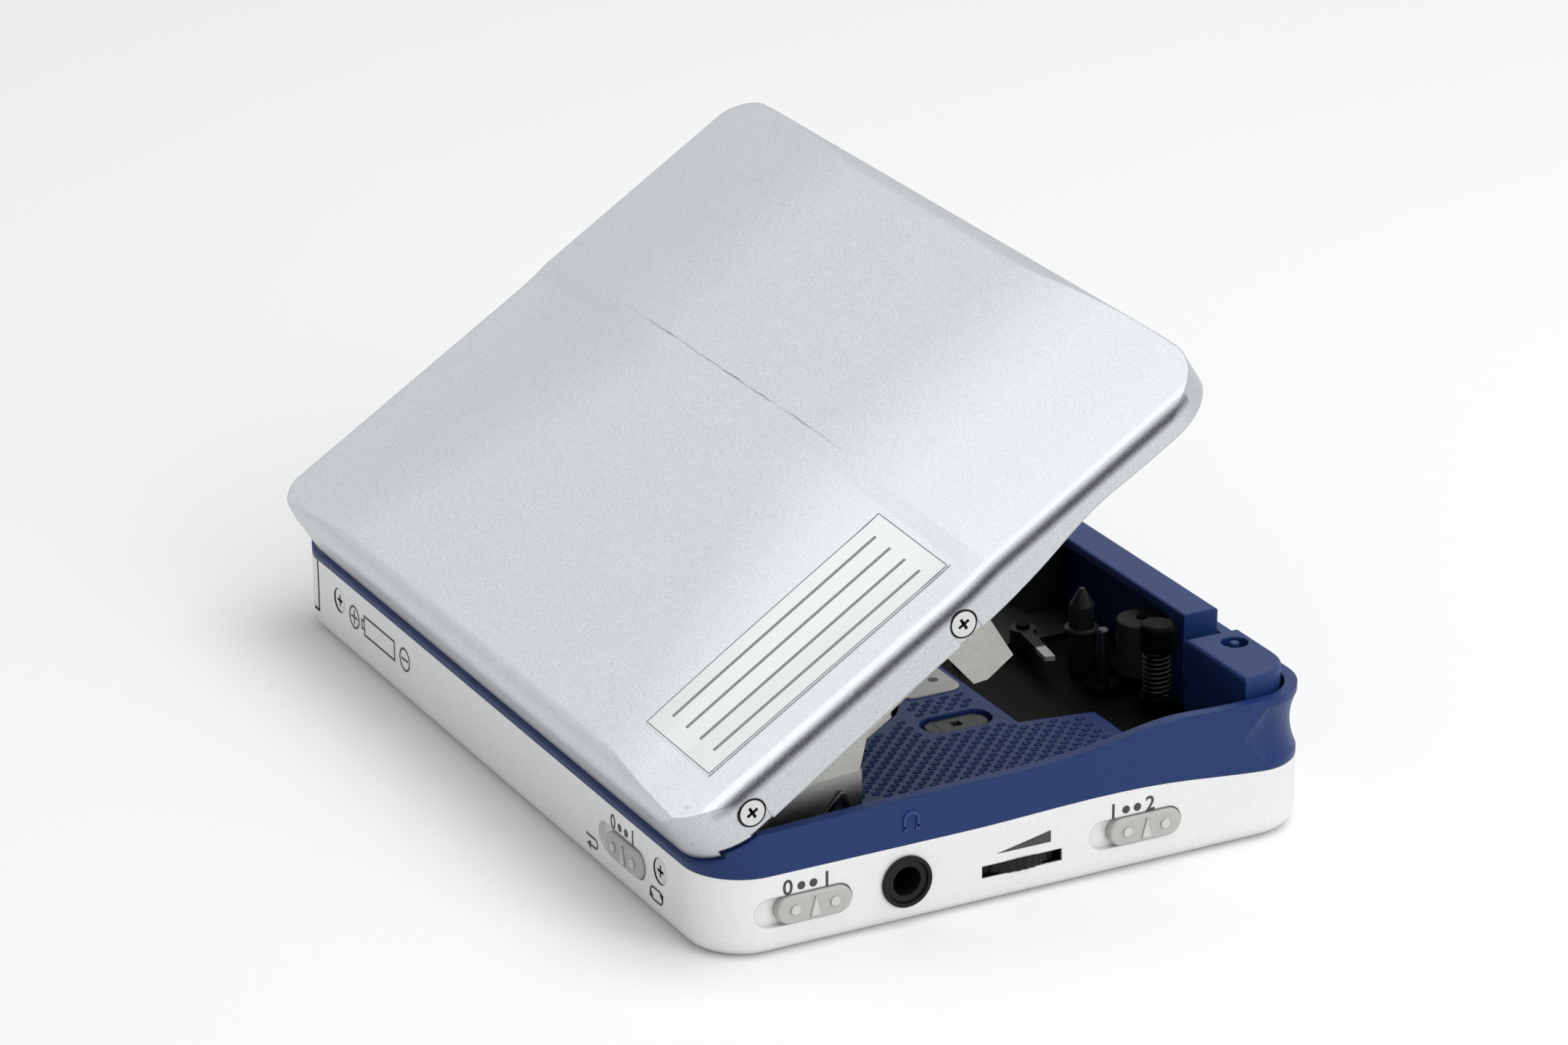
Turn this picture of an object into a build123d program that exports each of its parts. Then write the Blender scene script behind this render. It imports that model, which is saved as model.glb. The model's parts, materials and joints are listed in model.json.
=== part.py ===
from build123d import *
import os
from math import asin, atan2, cos, hypot, pi, sin, sqrt, tan

# A slim portable cassette player, all lengths in mm.
# X runs along the cassette and ends at the control face, Y runs from the hinge to the catch, Z is up.
# The origin is the middle of the underside.

# The cassette decides how large the case is
cassette_length = 100.4
cassette_thickness = 8.7
cassette_edge = 63.8
side_margin = 8.05
edge_margin = 7.6

# Outer case
case_length = cassette_length + 2 * side_margin
case_width = cassette_edge + 2 * edge_margin
case_corner = 7.2
case_wall = 1.5
base_fillet = 2.4
seam_height = 10.0
seam_crest = 0.4
seam_dip = 1.2
floor_top = 10.5
floor_thickness = 1.2
lip_height = 10.8
back_wall_height = 14.9
rim_height = 15.13
rim_front_rise = 2.51

# Cover
cover_side_inset = 0.2
cover_corner = 8.0
cover_wall = 1.05
cover_back_overhang = 0.5
cover_front_inset = 0.1
cover_crown = 24.4
cover_plateau = 22.2
cover_short_edge = 21.2
cover_edge_fillet = 2.0
cover_back_fillet = 3.0
cover_front_fillet = 2.6
cover_bend_x = 50.0
bend_share = 0.4
front_level_half = 28.0
front_bend_level = 22.12
foot_crown = 24.2
foot_level_half = 26.0
foot_bend_level = 21.5
foot_edge_drop = 0.25
hinge_level_half = 40.0
hinge_bend_level = 21.75
crease_from_front = 33.6
crease_length = 4.8
crease_steep_length = 2.2
crease_foot_rise = 0.07
trim_lift = 0.006
cover_seam_gap = 0.2
cover_back_low = 14.6
open_angle = 32.5

# Hinge
pivot_from_back = 5.7
pivot_height = 14.4
hinge_pin_radius = 0.95
hinge_running_gap = 0.05
bracket_sheet = 0.7
holder_sheet = 0.4

# Reels
reel_spacing = 42.5
reel_from_front = 44.7
reel_hole_radius = 8.2
reel_table_radius = 7.4
spline_radius = 3.9
spindle_core = 2.6
spindle_shaft = 1.5

# Controls
slot_length = 12.12
slot_height = 3.6
slot_level = 5.45
knob_play = 0.15
knob_travel = 2.4
recess_depth = 0.8
knob_proud = 0.45
wheel_radius = 8.0
wheel_thickness = 1.35
wheel_level = 4.33
wheel_proud = 0.3
wheel_slot_length = 10.44
wheel_slot_height = 1.54
jack_radius = 1.78
jack_nose = 2.6
jack_ring_radius = 3.12
jack_level = 5.57
jack_depth = 14.0
key_length = 10.5
key_height = 3.8
key_pitch = 12.5
key_travel = 1.0
key_gap = 0.15
slider_stem = 3.0
slider_travel = 1.6

# Drive
gear_module = 0.5
reel_teeth = 36
idler_teeth = 24
capstan_radius = 0.75
capstan_spacing = 59.0
capstan_from_front = 12.2
capstan_top = 17.0
flywheel_radius = 7.5
flywheel_groove = 0.5
pulley_radius = 1.6
belt_thickness = 0.5
belt_width = 0.9
belt_gap = 0.03
roller_radius = 3.0
motor_radius = 9.0
motor_height = 4.5
chassis_thickness = 0.9
running_gap = 0.05

# Battery
cell_length = 67.0
cell_width = 17.0
tube_wall = 0.8
cell_play = 0.1
door_gap = 0.15
door_low = 3.4
door_reach = 7.25
door_pin_radius = 0.4
barrel_radius = 1.05

# Small parts
screw_radius = 1.5
screw_shank = 0.6
board_thickness = 0.8
board_gap = 0.9
spring_wire = 0.4
spring_pitch = 0.86

# Places that follow from the sizes above
half_length = case_length / 2
back = -case_width / 2
front = case_width / 2
inner_x = half_length - case_wall
inner_back = back + case_wall
inner_front = front - case_wall
floor_low = floor_top - floor_thickness
cover_length = case_length - 2 * cover_side_inset
cover_half = cover_length / 2
cover_back = back - cover_back_overhang
cover_front = front - cover_front_inset
cover_middle = (cover_back + cover_front) / 2
cover_width = cover_front - cover_back
crease_top = front - crease_from_front
crease_middle = crease_top - crease_steep_length
crease_foot = crease_top - crease_length
pivot_y = back + pivot_from_back
hinge_axis = Axis((0, pivot_y, pivot_height), (1, 0, 0))
reel_x = reel_spacing / 2
reel_y = front - reel_from_front
chassis_top = floor_low - 0.4
chassis_low = chassis_top - chassis_thickness
capstan_x = capstan_spacing / 2
capstan_y = front - capstan_from_front
board_low = case_wall + board_gap
board_top = board_low + board_thickness
flange_out = inner_x - 1.15
flange_in = flange_out - holder_sheet
bracket_out = flange_in - 0.9
bracket_in = bracket_out - bracket_sheet
holder_low = floor_top + cassette_thickness + 0.25
holder_top = holder_low + holder_sheet
tab_hole_start = flange_in - 5.0
far = 200.0

os.makedirs("parts", exist_ok=True)


def save(piece, name):
    piece.label = name
    export_step(piece, f"parts/{name}.step")


def save_open(piece, name):
    save(piece.rotate(hinge_axis, open_angle), name)


def block(x_low, x_high, y_low, y_high, low, high, corner=0.0, mode=Mode.ADD):
    with BuildSketch(Plane.XY.offset(low)) as plan:
        with Locations(((x_low + x_high) / 2, (y_low + y_high) / 2)):
            if corner > 0:
                RectangleRounded(x_high - x_low, y_high - y_low, corner)
            else:
                Rectangle(x_high - x_low, y_high - y_low)
    extrude(plan.sketch, amount=high - low, mode=mode)


def disc(x, y, radius, low, high, mode=Mode.ADD):
    with BuildSketch(Plane.XY.offset(low)) as plan:
        with Locations((x, y)):
            Circle(radius)
    extrude(plan.sketch, amount=high - low, mode=mode)


def side_disc(y, z, radius, x_low, x_high, mode=Mode.ADD):
    with BuildSketch(Plane.YZ.offset(x_low)) as plan:
        with Locations((y, z)):
            Circle(radius)
    extrude(plan.sketch, amount=x_high - x_low, mode=mode)


def side_plate(points, x_low, x_high, mode=Mode.ADD):
    with BuildSketch(Plane.YZ.offset(x_low)) as plan:
        with BuildLine():
            Polyline(*points, close=True)
        make_face()
    extrude(plan.sketch, amount=x_high - x_low, mode=mode)


def across(face, mode):
    extrude(face, amount=far, both=True, mode=mode)


# The seam and the rim are wavy lines seen from the short sides, given by distance from the front face.
seam_wave = [(47.5, 0.0), (31.1, seam_crest), (19.5, 0.07), (9.5, -0.96), (4.5, -seam_dip)]
rim_wave = [(73.1, 0.0), (61.0, 0.37), (47.5, 0.62), (35.0, 0.84), (27.4, 1.67), (19.7, 2.72)]
rim_wave = rim_wave + [(11.9, rim_front_rise)]


def below_seam():
    points = [(front - away, seam_height + rise) for away, rise in seam_wave]
    with BuildSketch(Plane.YZ) as region:
        with BuildLine():
            Spline(*points, tangents=[(1, 0), (1, 0)])
            Polyline(points[-1], (far, points[-1][1]), (far, -far), (-far, -far),
                     (-far, seam_height), points[0])
        make_face()
    return region.sketch


def above_rim(gap, ramp_points):
    points = [(front - away, rim_height + rise + gap) for away, rise in rim_wave]
    with BuildSketch(Plane.YZ) as region:
        with BuildLine():
            Spline(*points, tangents=[(1, 0.03), (1, 0)])
            Polyline(points[-1], (far, points[-1][1]), (far, far), (-far, far),
                     *ramp_points, points[0])
        make_face()
    return region.sketch


def case_shell():
    with BuildPart() as shell:
        block(-half_length, half_length, back, front, 0, seam_height + 1, case_corner)
        fillet(shell.faces().sort_by(Axis.Z)[0].edges(), base_fillet)
        block(-inner_x, inner_x, inner_back, inner_front, case_wall, far,
              case_corner - case_wall, Mode.SUBTRACT)
        across(below_seam(), Mode.INTERSECT)
    return shell.part


# Sliding switches: three alike, on the control face and on the hinge face.
control_slots = {
    "bass_knob": Plane((half_length, back + 11.42, slot_level), (0, 1, 0), (1, 0, 0)),
    "tape_knob": Plane((half_length, back + 54.27, slot_level), (0, 1, 0), (1, 0, 0)),
    "reverse_knob": Plane((half_length - 22.69, back, slot_level), (1, 0, 0), (0, -1, 0)),
}
stem_width = 2.0
stem_height = 1.1


def slot_shapes(plane, depth, width, height, mode):
    with BuildSketch(plane.offset(-depth)) as outline:
        SlotOverall(width, height)
    extrude(outline.sketch, amount=depth + 1, mode=mode)


door_pivot = (-(half_length - barrel_radius), back + 21.45)
door_edge_x = -half_length + door_reach
door_top = seam_height - 0.12


def door_region(grow, low, high):
    with BuildPart() as region:
        block(-far, door_edge_x + grow, -far, door_pivot[1], low - grow, high)
        disc(*door_pivot, barrel_radius + 1.6 * grow, low - grow, high)
        if grow > 0:
            block(-far, door_pivot[0], door_pivot[1], door_pivot[1] + barrel_radius + grow, low - grow, high)
    return region.part


case_screw_places = (half_length - 13.0, -half_length + 14.02)
case_screw_level = 6.83
first_key_in = 88.25
screw_pad_low = 4.8
screw_head = 0.6
jack_y = back + 24.42
wheel_y = back + 39.38
key_places = [half_length - first_key_in + place * key_pitch for place in range(4)]
key_level = 5.1
catch_x = half_length - 17.75
slider_x = catch_x - 0.5
board_posts = [(half_length - inward, y) for inward in (38.25, 6.25) for y in (back + 30, front - 8)]

with BuildPart() as lower_case:
    add(case_shell())
    add(door_region(door_gap, door_low, far), mode=Mode.SUBTRACT)
    for plane in control_slots.values():
        slot_shapes(plane, recess_depth, slot_length, slot_height, Mode.SUBTRACT)
        slot_shapes(plane, case_wall + 1, stem_width + knob_travel + 0.6, stem_height + 0.4, Mode.SUBTRACT)
    with BuildSketch(Plane.YZ.offset(inner_x - 1)):
        with Locations((jack_y, jack_level)):
            Circle(jack_nose + running_gap)
    extrude(amount=4, mode=Mode.SUBTRACT)
    with BuildSketch(Plane.YZ.offset(inner_x - 1)):
        with Locations((wheel_y, wheel_level)):
            Rectangle(wheel_slot_length, wheel_slot_height)
    extrude(amount=4, mode=Mode.SUBTRACT)
    for x in case_screw_places:
        with BuildSketch(Plane.XZ.offset(-back - 0.7)):
            with Locations((x, case_screw_level)):
                Circle(screw_radius + 0.1)
        extrude(amount=2, mode=Mode.SUBTRACT)
        with BuildSketch(Plane.XZ.offset(-back - 3)):
            with Locations((x, case_screw_level)):
                Circle(screw_shank + 0.02)
        extrude(amount=4, mode=Mode.SUBTRACT)
    for x in key_places:
        with BuildSketch(Plane.XZ.offset(-inner_front - 3)):
            with Locations((x, key_level)):
                RectangleRounded(key_length + 2 * key_gap, key_height + 2 * key_gap, 0.6)
        extrude(amount=4, mode=Mode.SUBTRACT)
    with BuildSketch(Plane.XZ.offset(-inner_front - 3)):
        with Locations((slider_x, key_level)):
            Rectangle(slider_stem + slider_travel + 0.6, 1.5 + 2 * key_gap)
    extrude(amount=4, mode=Mode.SUBTRACT)
    for x, y in board_posts:
        disc(x, y, 2.0, case_wall, board_low)
    disc(*door_pivot, door_pin_radius + 0.02, 2.4, far, Mode.SUBTRACT)
save(lower_case.part, "lower_case")

with BuildPart() as battery_door:
    add(case_shell())
    add(door_region(0, door_low, door_top), mode=Mode.INTERSECT)
    disc(*door_pivot, barrel_radius, door_low, door_top)
    disc(*door_pivot, door_pin_radius + running_gap, 0, far, Mode.SUBTRACT)
save(battery_door.part, "battery_door")


# Blue middle frame: rim, deck and the ledge under the catch gap.
guide_x = 15.0
guide_back = back + 55.0
guide_front = guide_back + 7.0
head_slot_half = 4.5
ramp_drop = 0.634
ramp_end = back + 2.8
deck_front = back + 51.7
deck_side_front = back + 61.0
deck_notch_in = half_length - 22.45
deck_notch_out = deck_notch_in + 1.6
groove_level = 13.2
groove_half = 3.6
groove_depth = 0.8
groove_reach = 2.8
catch_gap = 4.4
ledge_top = 13.0
ledge_low = 12.2
front_wall_back = front - 6.3
front_wall_front = front - 1.7
sensor_slot = (half_length - 28.55, half_length - 23.95, back + 40.9, back + 50.0)
tab_slot = (flange_in - 0.4, inner_x, pivot_y + 29.7, pivot_y + 37.3)
channel_in = cassette_length / 2 + 0.7
channel_out = channel_in + holder_sheet
lip_front = pivot_y + 21.8
holder_back = pivot_y - 1.5
deck_post_x = half_length - 12.25
lip_low = floor_top - 0.3


def groove_face(depth_share):
    depth = groove_depth * depth_share
    half = groove_half * depth_share
    return [(0.02, -half), (-depth, 0), (0.02, half)]


def groove_section(plane, share=1.0):
    with BuildSketch(plane) as section:
        with BuildLine():
            ThreePointArc(*groove_face(share))
            Line((0.02, groove_half * share), (0.02, -groove_half * share))
        make_face()
    return section.sketch


with BuildPart() as finger_groove:
    corner_x = half_length - case_corner
    corner_y = front - case_corner
    side_plane = Plane((half_length, corner_y, groove_level), (1, 0, 0), (0, 1, 0))
    front_plane = Plane((0, front, groove_level), (0, 1, 0), (1, 0, 0))
    extrude(groove_section(front_plane), amount=corner_x, both=True)
    revolve(groove_section(side_plane), Axis((corner_x, corner_y, 0), (0, 0, 1)), 90)
    near_end = Plane((half_length, corner_y - groove_reach, groove_level), (1, 0, 0), (0, 1, 0))
    loft([groove_section(side_plane), groove_section(near_end, 0.15)])
    mirror(about=Plane.YZ)

sensor_pin_level = floor_low + 0.5
sensor_pin_y = sensor_slot[2] + 2.2

with BuildPart() as deck:
    block(-inner_x, inner_x, inner_back, inner_front, floor_low, lip_height, case_corner - case_wall)
    block(-inner_x, inner_x, ramp_end, inner_front, floor_top, lip_height + 1, 0, Mode.SUBTRACT)
    block(-corner_x + 1.5, corner_x - 1.5, back + 1.6, back + 2.9, floor_low, back_wall_height)
    with BuildSketch(Plane.XY.offset(floor_low - 1)):
        with BuildLine():
            Polyline((-inner_x, inner_front), (-inner_x, deck_side_front),
                     (-deck_notch_out, deck_side_front), (-deck_notch_in, deck_front),
                     (deck_notch_in, deck_front), (deck_notch_out, deck_side_front),
                     (inner_x, deck_side_front), (inner_x, inner_front), close=True)
        make_face()
    extrude(amount=floor_thickness + 1.5, mode=Mode.SUBTRACT)
    for side in (-1, 1):
        disc(side * reel_x, reel_y, reel_hole_radius, floor_low - 1, floor_top + 1, Mode.SUBTRACT)
        edges = sorted((side * tab_slot[0], side * tab_slot[1]))
        block(*edges, tab_slot[2], tab_slot[3], floor_low - 1, floor_top + 1, 0, Mode.SUBTRACT)
        edges = sorted((side * (channel_in - 2.4), side * (channel_out + 0.5)))
        block(*edges, holder_back - 0.4, lip_front + 0.6, lip_low - 0.35, floor_top + 1, 0, Mode.SUBTRACT)
        disc(side * deck_post_x, back + 48.5, 1.5, chassis_top, floor_low)
        disc(side * deck_post_x, back + 27.5, 1.5, chassis_top, floor_low)
    block(*sensor_slot, floor_low - 1, floor_top + 1, 2.2, Mode.SUBTRACT)
    side_disc(sensor_pin_y, sensor_pin_level, 0.45, sensor_slot[0] - 0.5, sensor_slot[1] + 0.5,
              Mode.SUBTRACT)
    for x in case_screw_places:
        block(x - 2.5, x + 2.5, inner_back, inner_back + 0.75, screw_pad_low, floor_low)

with BuildPart() as mid_frame:
    block(-half_length, half_length, back, front, seam_height - 2, rim_height + 4, case_corner)
    across(below_seam(), Mode.SUBTRACT)
    ramp_foot = back + 0.15
    ramp_line = [(-far, lip_height), (ramp_foot, lip_height),
                 (ramp_end - 0.1, lip_height + ramp_drop * (ramp_end - 0.1 - ramp_foot)),
                 (ramp_end, rim_height - ramp_drop * (pivot_y + 0.2 - ramp_end))]
    across(above_rim(0.0, ramp_line), Mode.SUBTRACT)
    block(-inner_x, inner_x, inner_back, inner_front, 0, far, case_corner - case_wall, Mode.SUBTRACT)
    add(deck.part)
    block(catch_x - catch_gap / 2, catch_x + catch_gap / 2, front_wall_back, inner_front + 0.5,
          ledge_low, ledge_top)
    block(catch_x - 0.5, catch_x + 1.9, front - 5.0, front - 2.8, ledge_low - 1, ledge_top + 1,
          0, Mode.SUBTRACT)
    for x in case_screw_places:
        with BuildSketch(Plane.XZ.offset(-inner_back - 2)):
            with Locations((x, case_screw_level)):
                Circle(screw_shank + 0.02)
        extrude(amount=4, mode=Mode.SUBTRACT)
    add(finger_groove.part, mode=Mode.SUBTRACT)
    disc(*door_pivot, door_pin_radius + 0.02, 0, seam_height + 0.55, Mode.SUBTRACT)
    disc(*door_pivot, barrel_radius + door_gap, 0, seam_height, Mode.SUBTRACT)
save(mid_frame.part, "mid_frame")

# The driving pieces under and over the black chassis plate.
idler_pivot = (0.0, back + 48.3)
idler_arm_length = 14.0
belt_idler_place = (capstan_x + 14.0, back + 59.5)
belt_idler_radius = 2.5
motor_place = (-capstan_x - 14.5, back + 47.5)
belt_low = 6.5
gear_low = 4.9
gear_top = 7.4
arm_pivot_x = capstan_x - 11.0
roller_y = capstan_y + capstan_radius + roller_radius + 1.55
locating_x = capstan_x - 5.5
tape_lever_pivot = (locating_x - 9.5, capstan_y - 2.3)
lift_place = (capstan_x + 7.5, capstan_y + 3.0)
locating_y = capstan_y + 0.3
carriage_half = 13.0
lever_low = 11.4
lever_thickness = 0.6
head_top = 18.6
pin_shoulder = 18.0
block_top = 19.9

with BuildPart() as chassis:
    block(-inner_x + 0.3, inner_x - 0.3, back + 23.5, inner_front - 0.3, chassis_low, chassis_top,
          case_corner - case_wall)
    for side in (-1, 1):
        disc(side * reel_x, reel_y, spindle_shaft + running_gap, 0, far, Mode.SUBTRACT)
        disc(side * capstan_x, capstan_y, 1.5, 0, far, Mode.SUBTRACT)
        disc(side * arm_pivot_x, roller_y, 0.9, chassis_top, chassis_top + 2.6)
        block(side * guide_x - 1.0, side * guide_x + 1.0, guide_back, guide_front, chassis_top,
              chassis_top + 0.8)
    block(*sensor_slot, 0, far, 2.2, Mode.SUBTRACT)
    block(catch_x - 4.5, catch_x + 3, front - 5.4, far, 0, far, 0, Mode.SUBTRACT)
    edges = (tab_slot[0], far)
    block(*edges, tab_slot[2], tab_slot[3], 0, far, 0, Mode.SUBTRACT)
    block(-far, -tab_slot[0], tab_slot[2], tab_slot[3], 0, far, 0, Mode.SUBTRACT)
    disc(*tape_lever_pivot, 0.8, chassis_top, chassis_top + 3.6)
    disc(*idler_pivot, 1.0, gear_low - 0.3, chassis_low)
    disc(*belt_idler_place, 0.8, belt_low - 0.4, chassis_low)
    disc(*motor_place, 0.9, 0, far, Mode.SUBTRACT)
save(chassis.part, "chassis")


def gear_outline(teeth):
    pitch = gear_module * teeth / 2
    root = pitch - 1.2 * gear_module
    tip = pitch + gear_module
    step = 2 * pi / teeth
    points = []
    for tooth in range(teeth):
        for share, radius in ((-0.29, root), (-0.12, tip), (0.12, tip), (0.29, root)):
            angle = (tooth + share) * step
            points.append((radius * cos(angle), radius * sin(angle)))
    return points


def gear(x, y, teeth, bore, low, high):
    with BuildSketch(Plane((x, y, low))) as outline:
        with BuildLine():
            Polyline(*gear_outline(teeth), close=True)
        make_face()
        Circle(bore, mode=Mode.SUBTRACT)
    extrude(outline.sketch, amount=high - low)


# Reels: a table in the deck's hole, a splined spindle, and a gear pressed on its shaft.
for side, name in ((-1, "left"), (1, "right")):
    x = side * reel_x
    with BuildPart() as spindle:
        disc(x, reel_y, reel_table_radius, floor_low + 0.1, floor_top - 0.2)
        disc(x, reel_y, spindle_core, floor_top - 0.2, 16.5)
        with BuildSketch(Plane((x, reel_y, floor_top - 0.2))):
            with PolarLocations(0, 3, start_angle=90):
                with Locations((spline_radius / 2, 0)):
                    Rectangle(spline_radius, 1.2)
        extrude(amount=5.6)
        with BuildSketch(Plane((x, reel_y, 16.5))):
            Circle(spindle_core)
        extrude(amount=1.8, taper=38)
        disc(x, reel_y, spindle_shaft, gear_low, floor_low + 0.1)
    save(spindle.part, f"{name}_spindle")
    with BuildPart() as reel_gear:
        gear(x, reel_y, reel_teeth, spindle_shaft + 0.01, gear_low, gear_top)
    save(reel_gear.part, f"{name}_reel_gear")

idler_y = idler_pivot[1] - idler_arm_length
with BuildPart() as idler_arm:
    block(-1.6, 1.6, idler_y, idler_pivot[1], gear_top + 0.15, chassis_low - 0.1)
    disc(*idler_pivot, 2.0, gear_top + 0.15, chassis_low - 0.1)
    disc(0, idler_y, 2.0, gear_top + 0.15, chassis_low - 0.1)
    disc(0, idler_y, 0.8, gear_low, gear_top + 0.15)
    disc(*idler_pivot, 1.0 + running_gap, 0, far, Mode.SUBTRACT)
save(idler_arm.part, "idler_arm")

with BuildPart() as idler_gear:
    gear(0, idler_y, idler_teeth, 0.8 + running_gap, gear_low, gear_top - 0.05)
save(idler_gear.part, "idler_gear")

# Motor, its pulley, two flywheels on the capstans, and the belt round them.
with BuildPart() as motor:
    disc(*motor_place, motor_radius, case_wall, case_wall + motor_height)
    fillet(motor.edges().filter_by(GeomType.CIRCLE), 0.5)
    disc(*motor_place, 0.5, case_wall + motor_height, belt_low + belt_width + 0.5)
save(motor.part, "motor")

with BuildPart() as motor_pulley:
    disc(*motor_place, pulley_radius + 0.4, belt_low - 0.4, belt_low + belt_width + 0.4)
    with BuildSketch(Plane((*motor_place, belt_low - 0.05))):
        Circle(pulley_radius + 1)
        Circle(pulley_radius, mode=Mode.SUBTRACT)
    extrude(amount=belt_width + 0.1, mode=Mode.SUBTRACT)
    disc(*motor_place, 0.5 + running_gap, 0, far, Mode.SUBTRACT)
save(motor_pulley.part, "motor_pulley")

with BuildPart() as belt_idler:
    disc(*belt_idler_place, belt_idler_radius + 0.4, belt_low - 0.4, belt_low + belt_width + 0.3)
    with BuildSketch(Plane((*belt_idler_place, belt_low - 0.05))):
        Circle(belt_idler_radius + 1)
        Circle(belt_idler_radius, mode=Mode.SUBTRACT)
    extrude(amount=belt_width + 0.1, mode=Mode.SUBTRACT)
    disc(*belt_idler_place, 0.8 + running_gap, 0, far, Mode.SUBTRACT)
save(belt_idler.part, "belt_idler")

groove_floor = flywheel_radius - flywheel_groove
for side, name in ((-1, "left"), (1, "right")):
    x = side * capstan_x
    with BuildPart() as flywheel:
        disc(x, capstan_y, flywheel_radius, board_top + 0.6, belt_low + belt_width + 0.4)
        with BuildSketch(Plane((x, capstan_y, belt_low - 0.05))):
            Circle(flywheel_radius + 1)
            Circle(groove_floor, mode=Mode.SUBTRACT)
        extrude(amount=belt_width + 0.1, mode=Mode.SUBTRACT)
        disc(x, capstan_y, capstan_radius + 0.01, 0, far, Mode.SUBTRACT)
    save(flywheel.part, f"{name}_flywheel")
    with BuildPart() as capstan:
        disc(x, capstan_y, capstan_radius, board_top + 0.2, capstan_top)
        chamfer(capstan.edges().group_by(Axis.Z)[-1], 0.2)
    save(capstan.part, f"{name}_capstan")

with BuildPart() as capstan_bushes:
    for side in (-1, 1):
        disc(side * capstan_x, capstan_y, 1.48, chassis_low, chassis_top)
        disc(side * capstan_x, capstan_y, 2.0, chassis_top, chassis_top + 1.2)
        disc(side * capstan_x, capstan_y, capstan_radius + running_gap, 0, far, Mode.SUBTRACT)
save(capstan_bushes.part, "capstan_bushes")

belt_middle = belt_thickness / 2 + belt_gap
belt_stops = [
    (motor_place, pulley_radius + belt_middle, 1),
    (belt_idler_place, belt_idler_radius + belt_middle, 1),
    ((capstan_x, capstan_y), groove_floor + belt_middle, -1),
    ((-capstan_x, capstan_y), groove_floor + belt_middle, 1),
]


def belt_edge(shift):
    joints = []
    for index, (place, radius, sense) in enumerate(belt_stops):
        next_place, next_radius, next_sense = belt_stops[(index + 1) % len(belt_stops)]
        gap_x = next_place[0] - place[0]
        gap_y = next_place[1] - place[1]
        near = (radius + sense * shift) * sense
        ahead = (next_radius + next_sense * shift) * next_sense
        heading = atan2(gap_y, gap_x) - asin((ahead - near) / hypot(gap_x, gap_y))
        right = (sin(heading), -cos(heading))
        leave = (place[0] + near * right[0], place[1] + near * right[1])
        arrive = (next_place[0] + ahead * right[0], next_place[1] + ahead * right[1])
        joints.append((heading, leave, arrive))
    for index, (heading, leave, arrive) in enumerate(joints):
        Line(leave, arrive)
        next_heading = joints[(index + 1) % len(joints)][0]
        next_leave = joints[(index + 1) % len(joints)][1]
        place, radius, sense = belt_stops[(index + 1) % len(belt_stops)]
        turn = (next_heading - heading) * sense % (2 * pi)
        middle = heading + sense * turn / 2
        reach = (radius + sense * shift) * sense
        crest = (place[0] + reach * sin(middle), place[1] - reach * cos(middle))
        ThreePointArc(arrive, crest, next_leave)


def belt_face(shift):
    with BuildSketch(Plane.XY.offset(belt_low)) as loop:
        with BuildLine():
            belt_edge(shift)
        make_face()
    return loop.sketch


with BuildPart() as drive_belt:
    extrude(belt_face(belt_thickness / 2), amount=belt_width)
    extrude(belt_face(-belt_thickness / 2), amount=belt_width, mode=Mode.SUBTRACT)
save(drive_belt.part, "drive_belt")

# Pinch rollers on swinging arms, each with its axle.
for side, name in ((-1, "left"), (1, "right")):
    x = side * capstan_x
    pivot_x = side * arm_pivot_x
    low = chassis_top + 0.8
    with BuildPart() as pinch_arm:
        with BuildSketch(Plane.XY.offset(low)):
            with Locations(((x + pivot_x) / 2, roller_y)):
                SlotOverall(capstan_x - arm_pivot_x + 4.0, 4.0)
        extrude(amount=0.6)
        disc(x, roller_y, 0.6, low + 0.6, capstan_top + 0.6)
        disc(pivot_x, roller_y, 0.9 + running_gap, 0, far, Mode.SUBTRACT)
    save(pinch_arm.part, f"{name}_pinch_arm")
    with BuildPart() as pinch_roller:
        disc(x, roller_y, roller_radius, low + 0.8, capstan_top + 0.3)
        fillet(pinch_roller.edges().filter_by(GeomType.CIRCLE), 0.3)
        disc(x, roller_y, 0.6 + running_gap, 0, far, Mode.SUBTRACT)
    save(pinch_roller.part, f"{name}_pinch_roller")

# Head on its sliding carriage, locating pins, brake lever and the sprung post.
head_back = capstan_y + 2.6
with BuildPart() as head_carriage:
    block(-carriage_half, carriage_half, guide_back + 1.0, head_back + 5.5, chassis_top + 0.03,
          chassis_top + 0.6, 0.6)
    block(-head_slot_half, head_slot_half, guide_back + 3.0, guide_front - 1.0, 0, far, 0.8,
          Mode.SUBTRACT)
save(head_carriage.part, "head_carriage")

with BuildPart() as tape_head:
    block(-6.0, 6.0, head_back + 0.8, head_back + 5.2, chassis_top + 0.6, head_top)
    with BuildSketch(Plane.XY.offset(10.8)):
        with Locations((0, head_back + 3.4)):
            Circle(3.4)
        with Locations((0, head_back + 4.8)):
            Rectangle(9, 5, mode=Mode.INTERSECT)
    block(-3.4, 3.4, head_back, head_back + 1.0, head_top - 7.2, head_top - 0.6)
save(tape_head.part, "tape_head")

with BuildPart() as locating_pins:
    for side in (-1, 1):
        x = side * locating_x
        disc(x, locating_y, 1.55, chassis_top, pin_shoulder)
        with BuildSketch(Plane((x, locating_y, pin_shoulder))):
            Circle(1.55)
        extrude(amount=2.1, taper=30)
save(locating_pins.part, "locating_pins")

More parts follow.
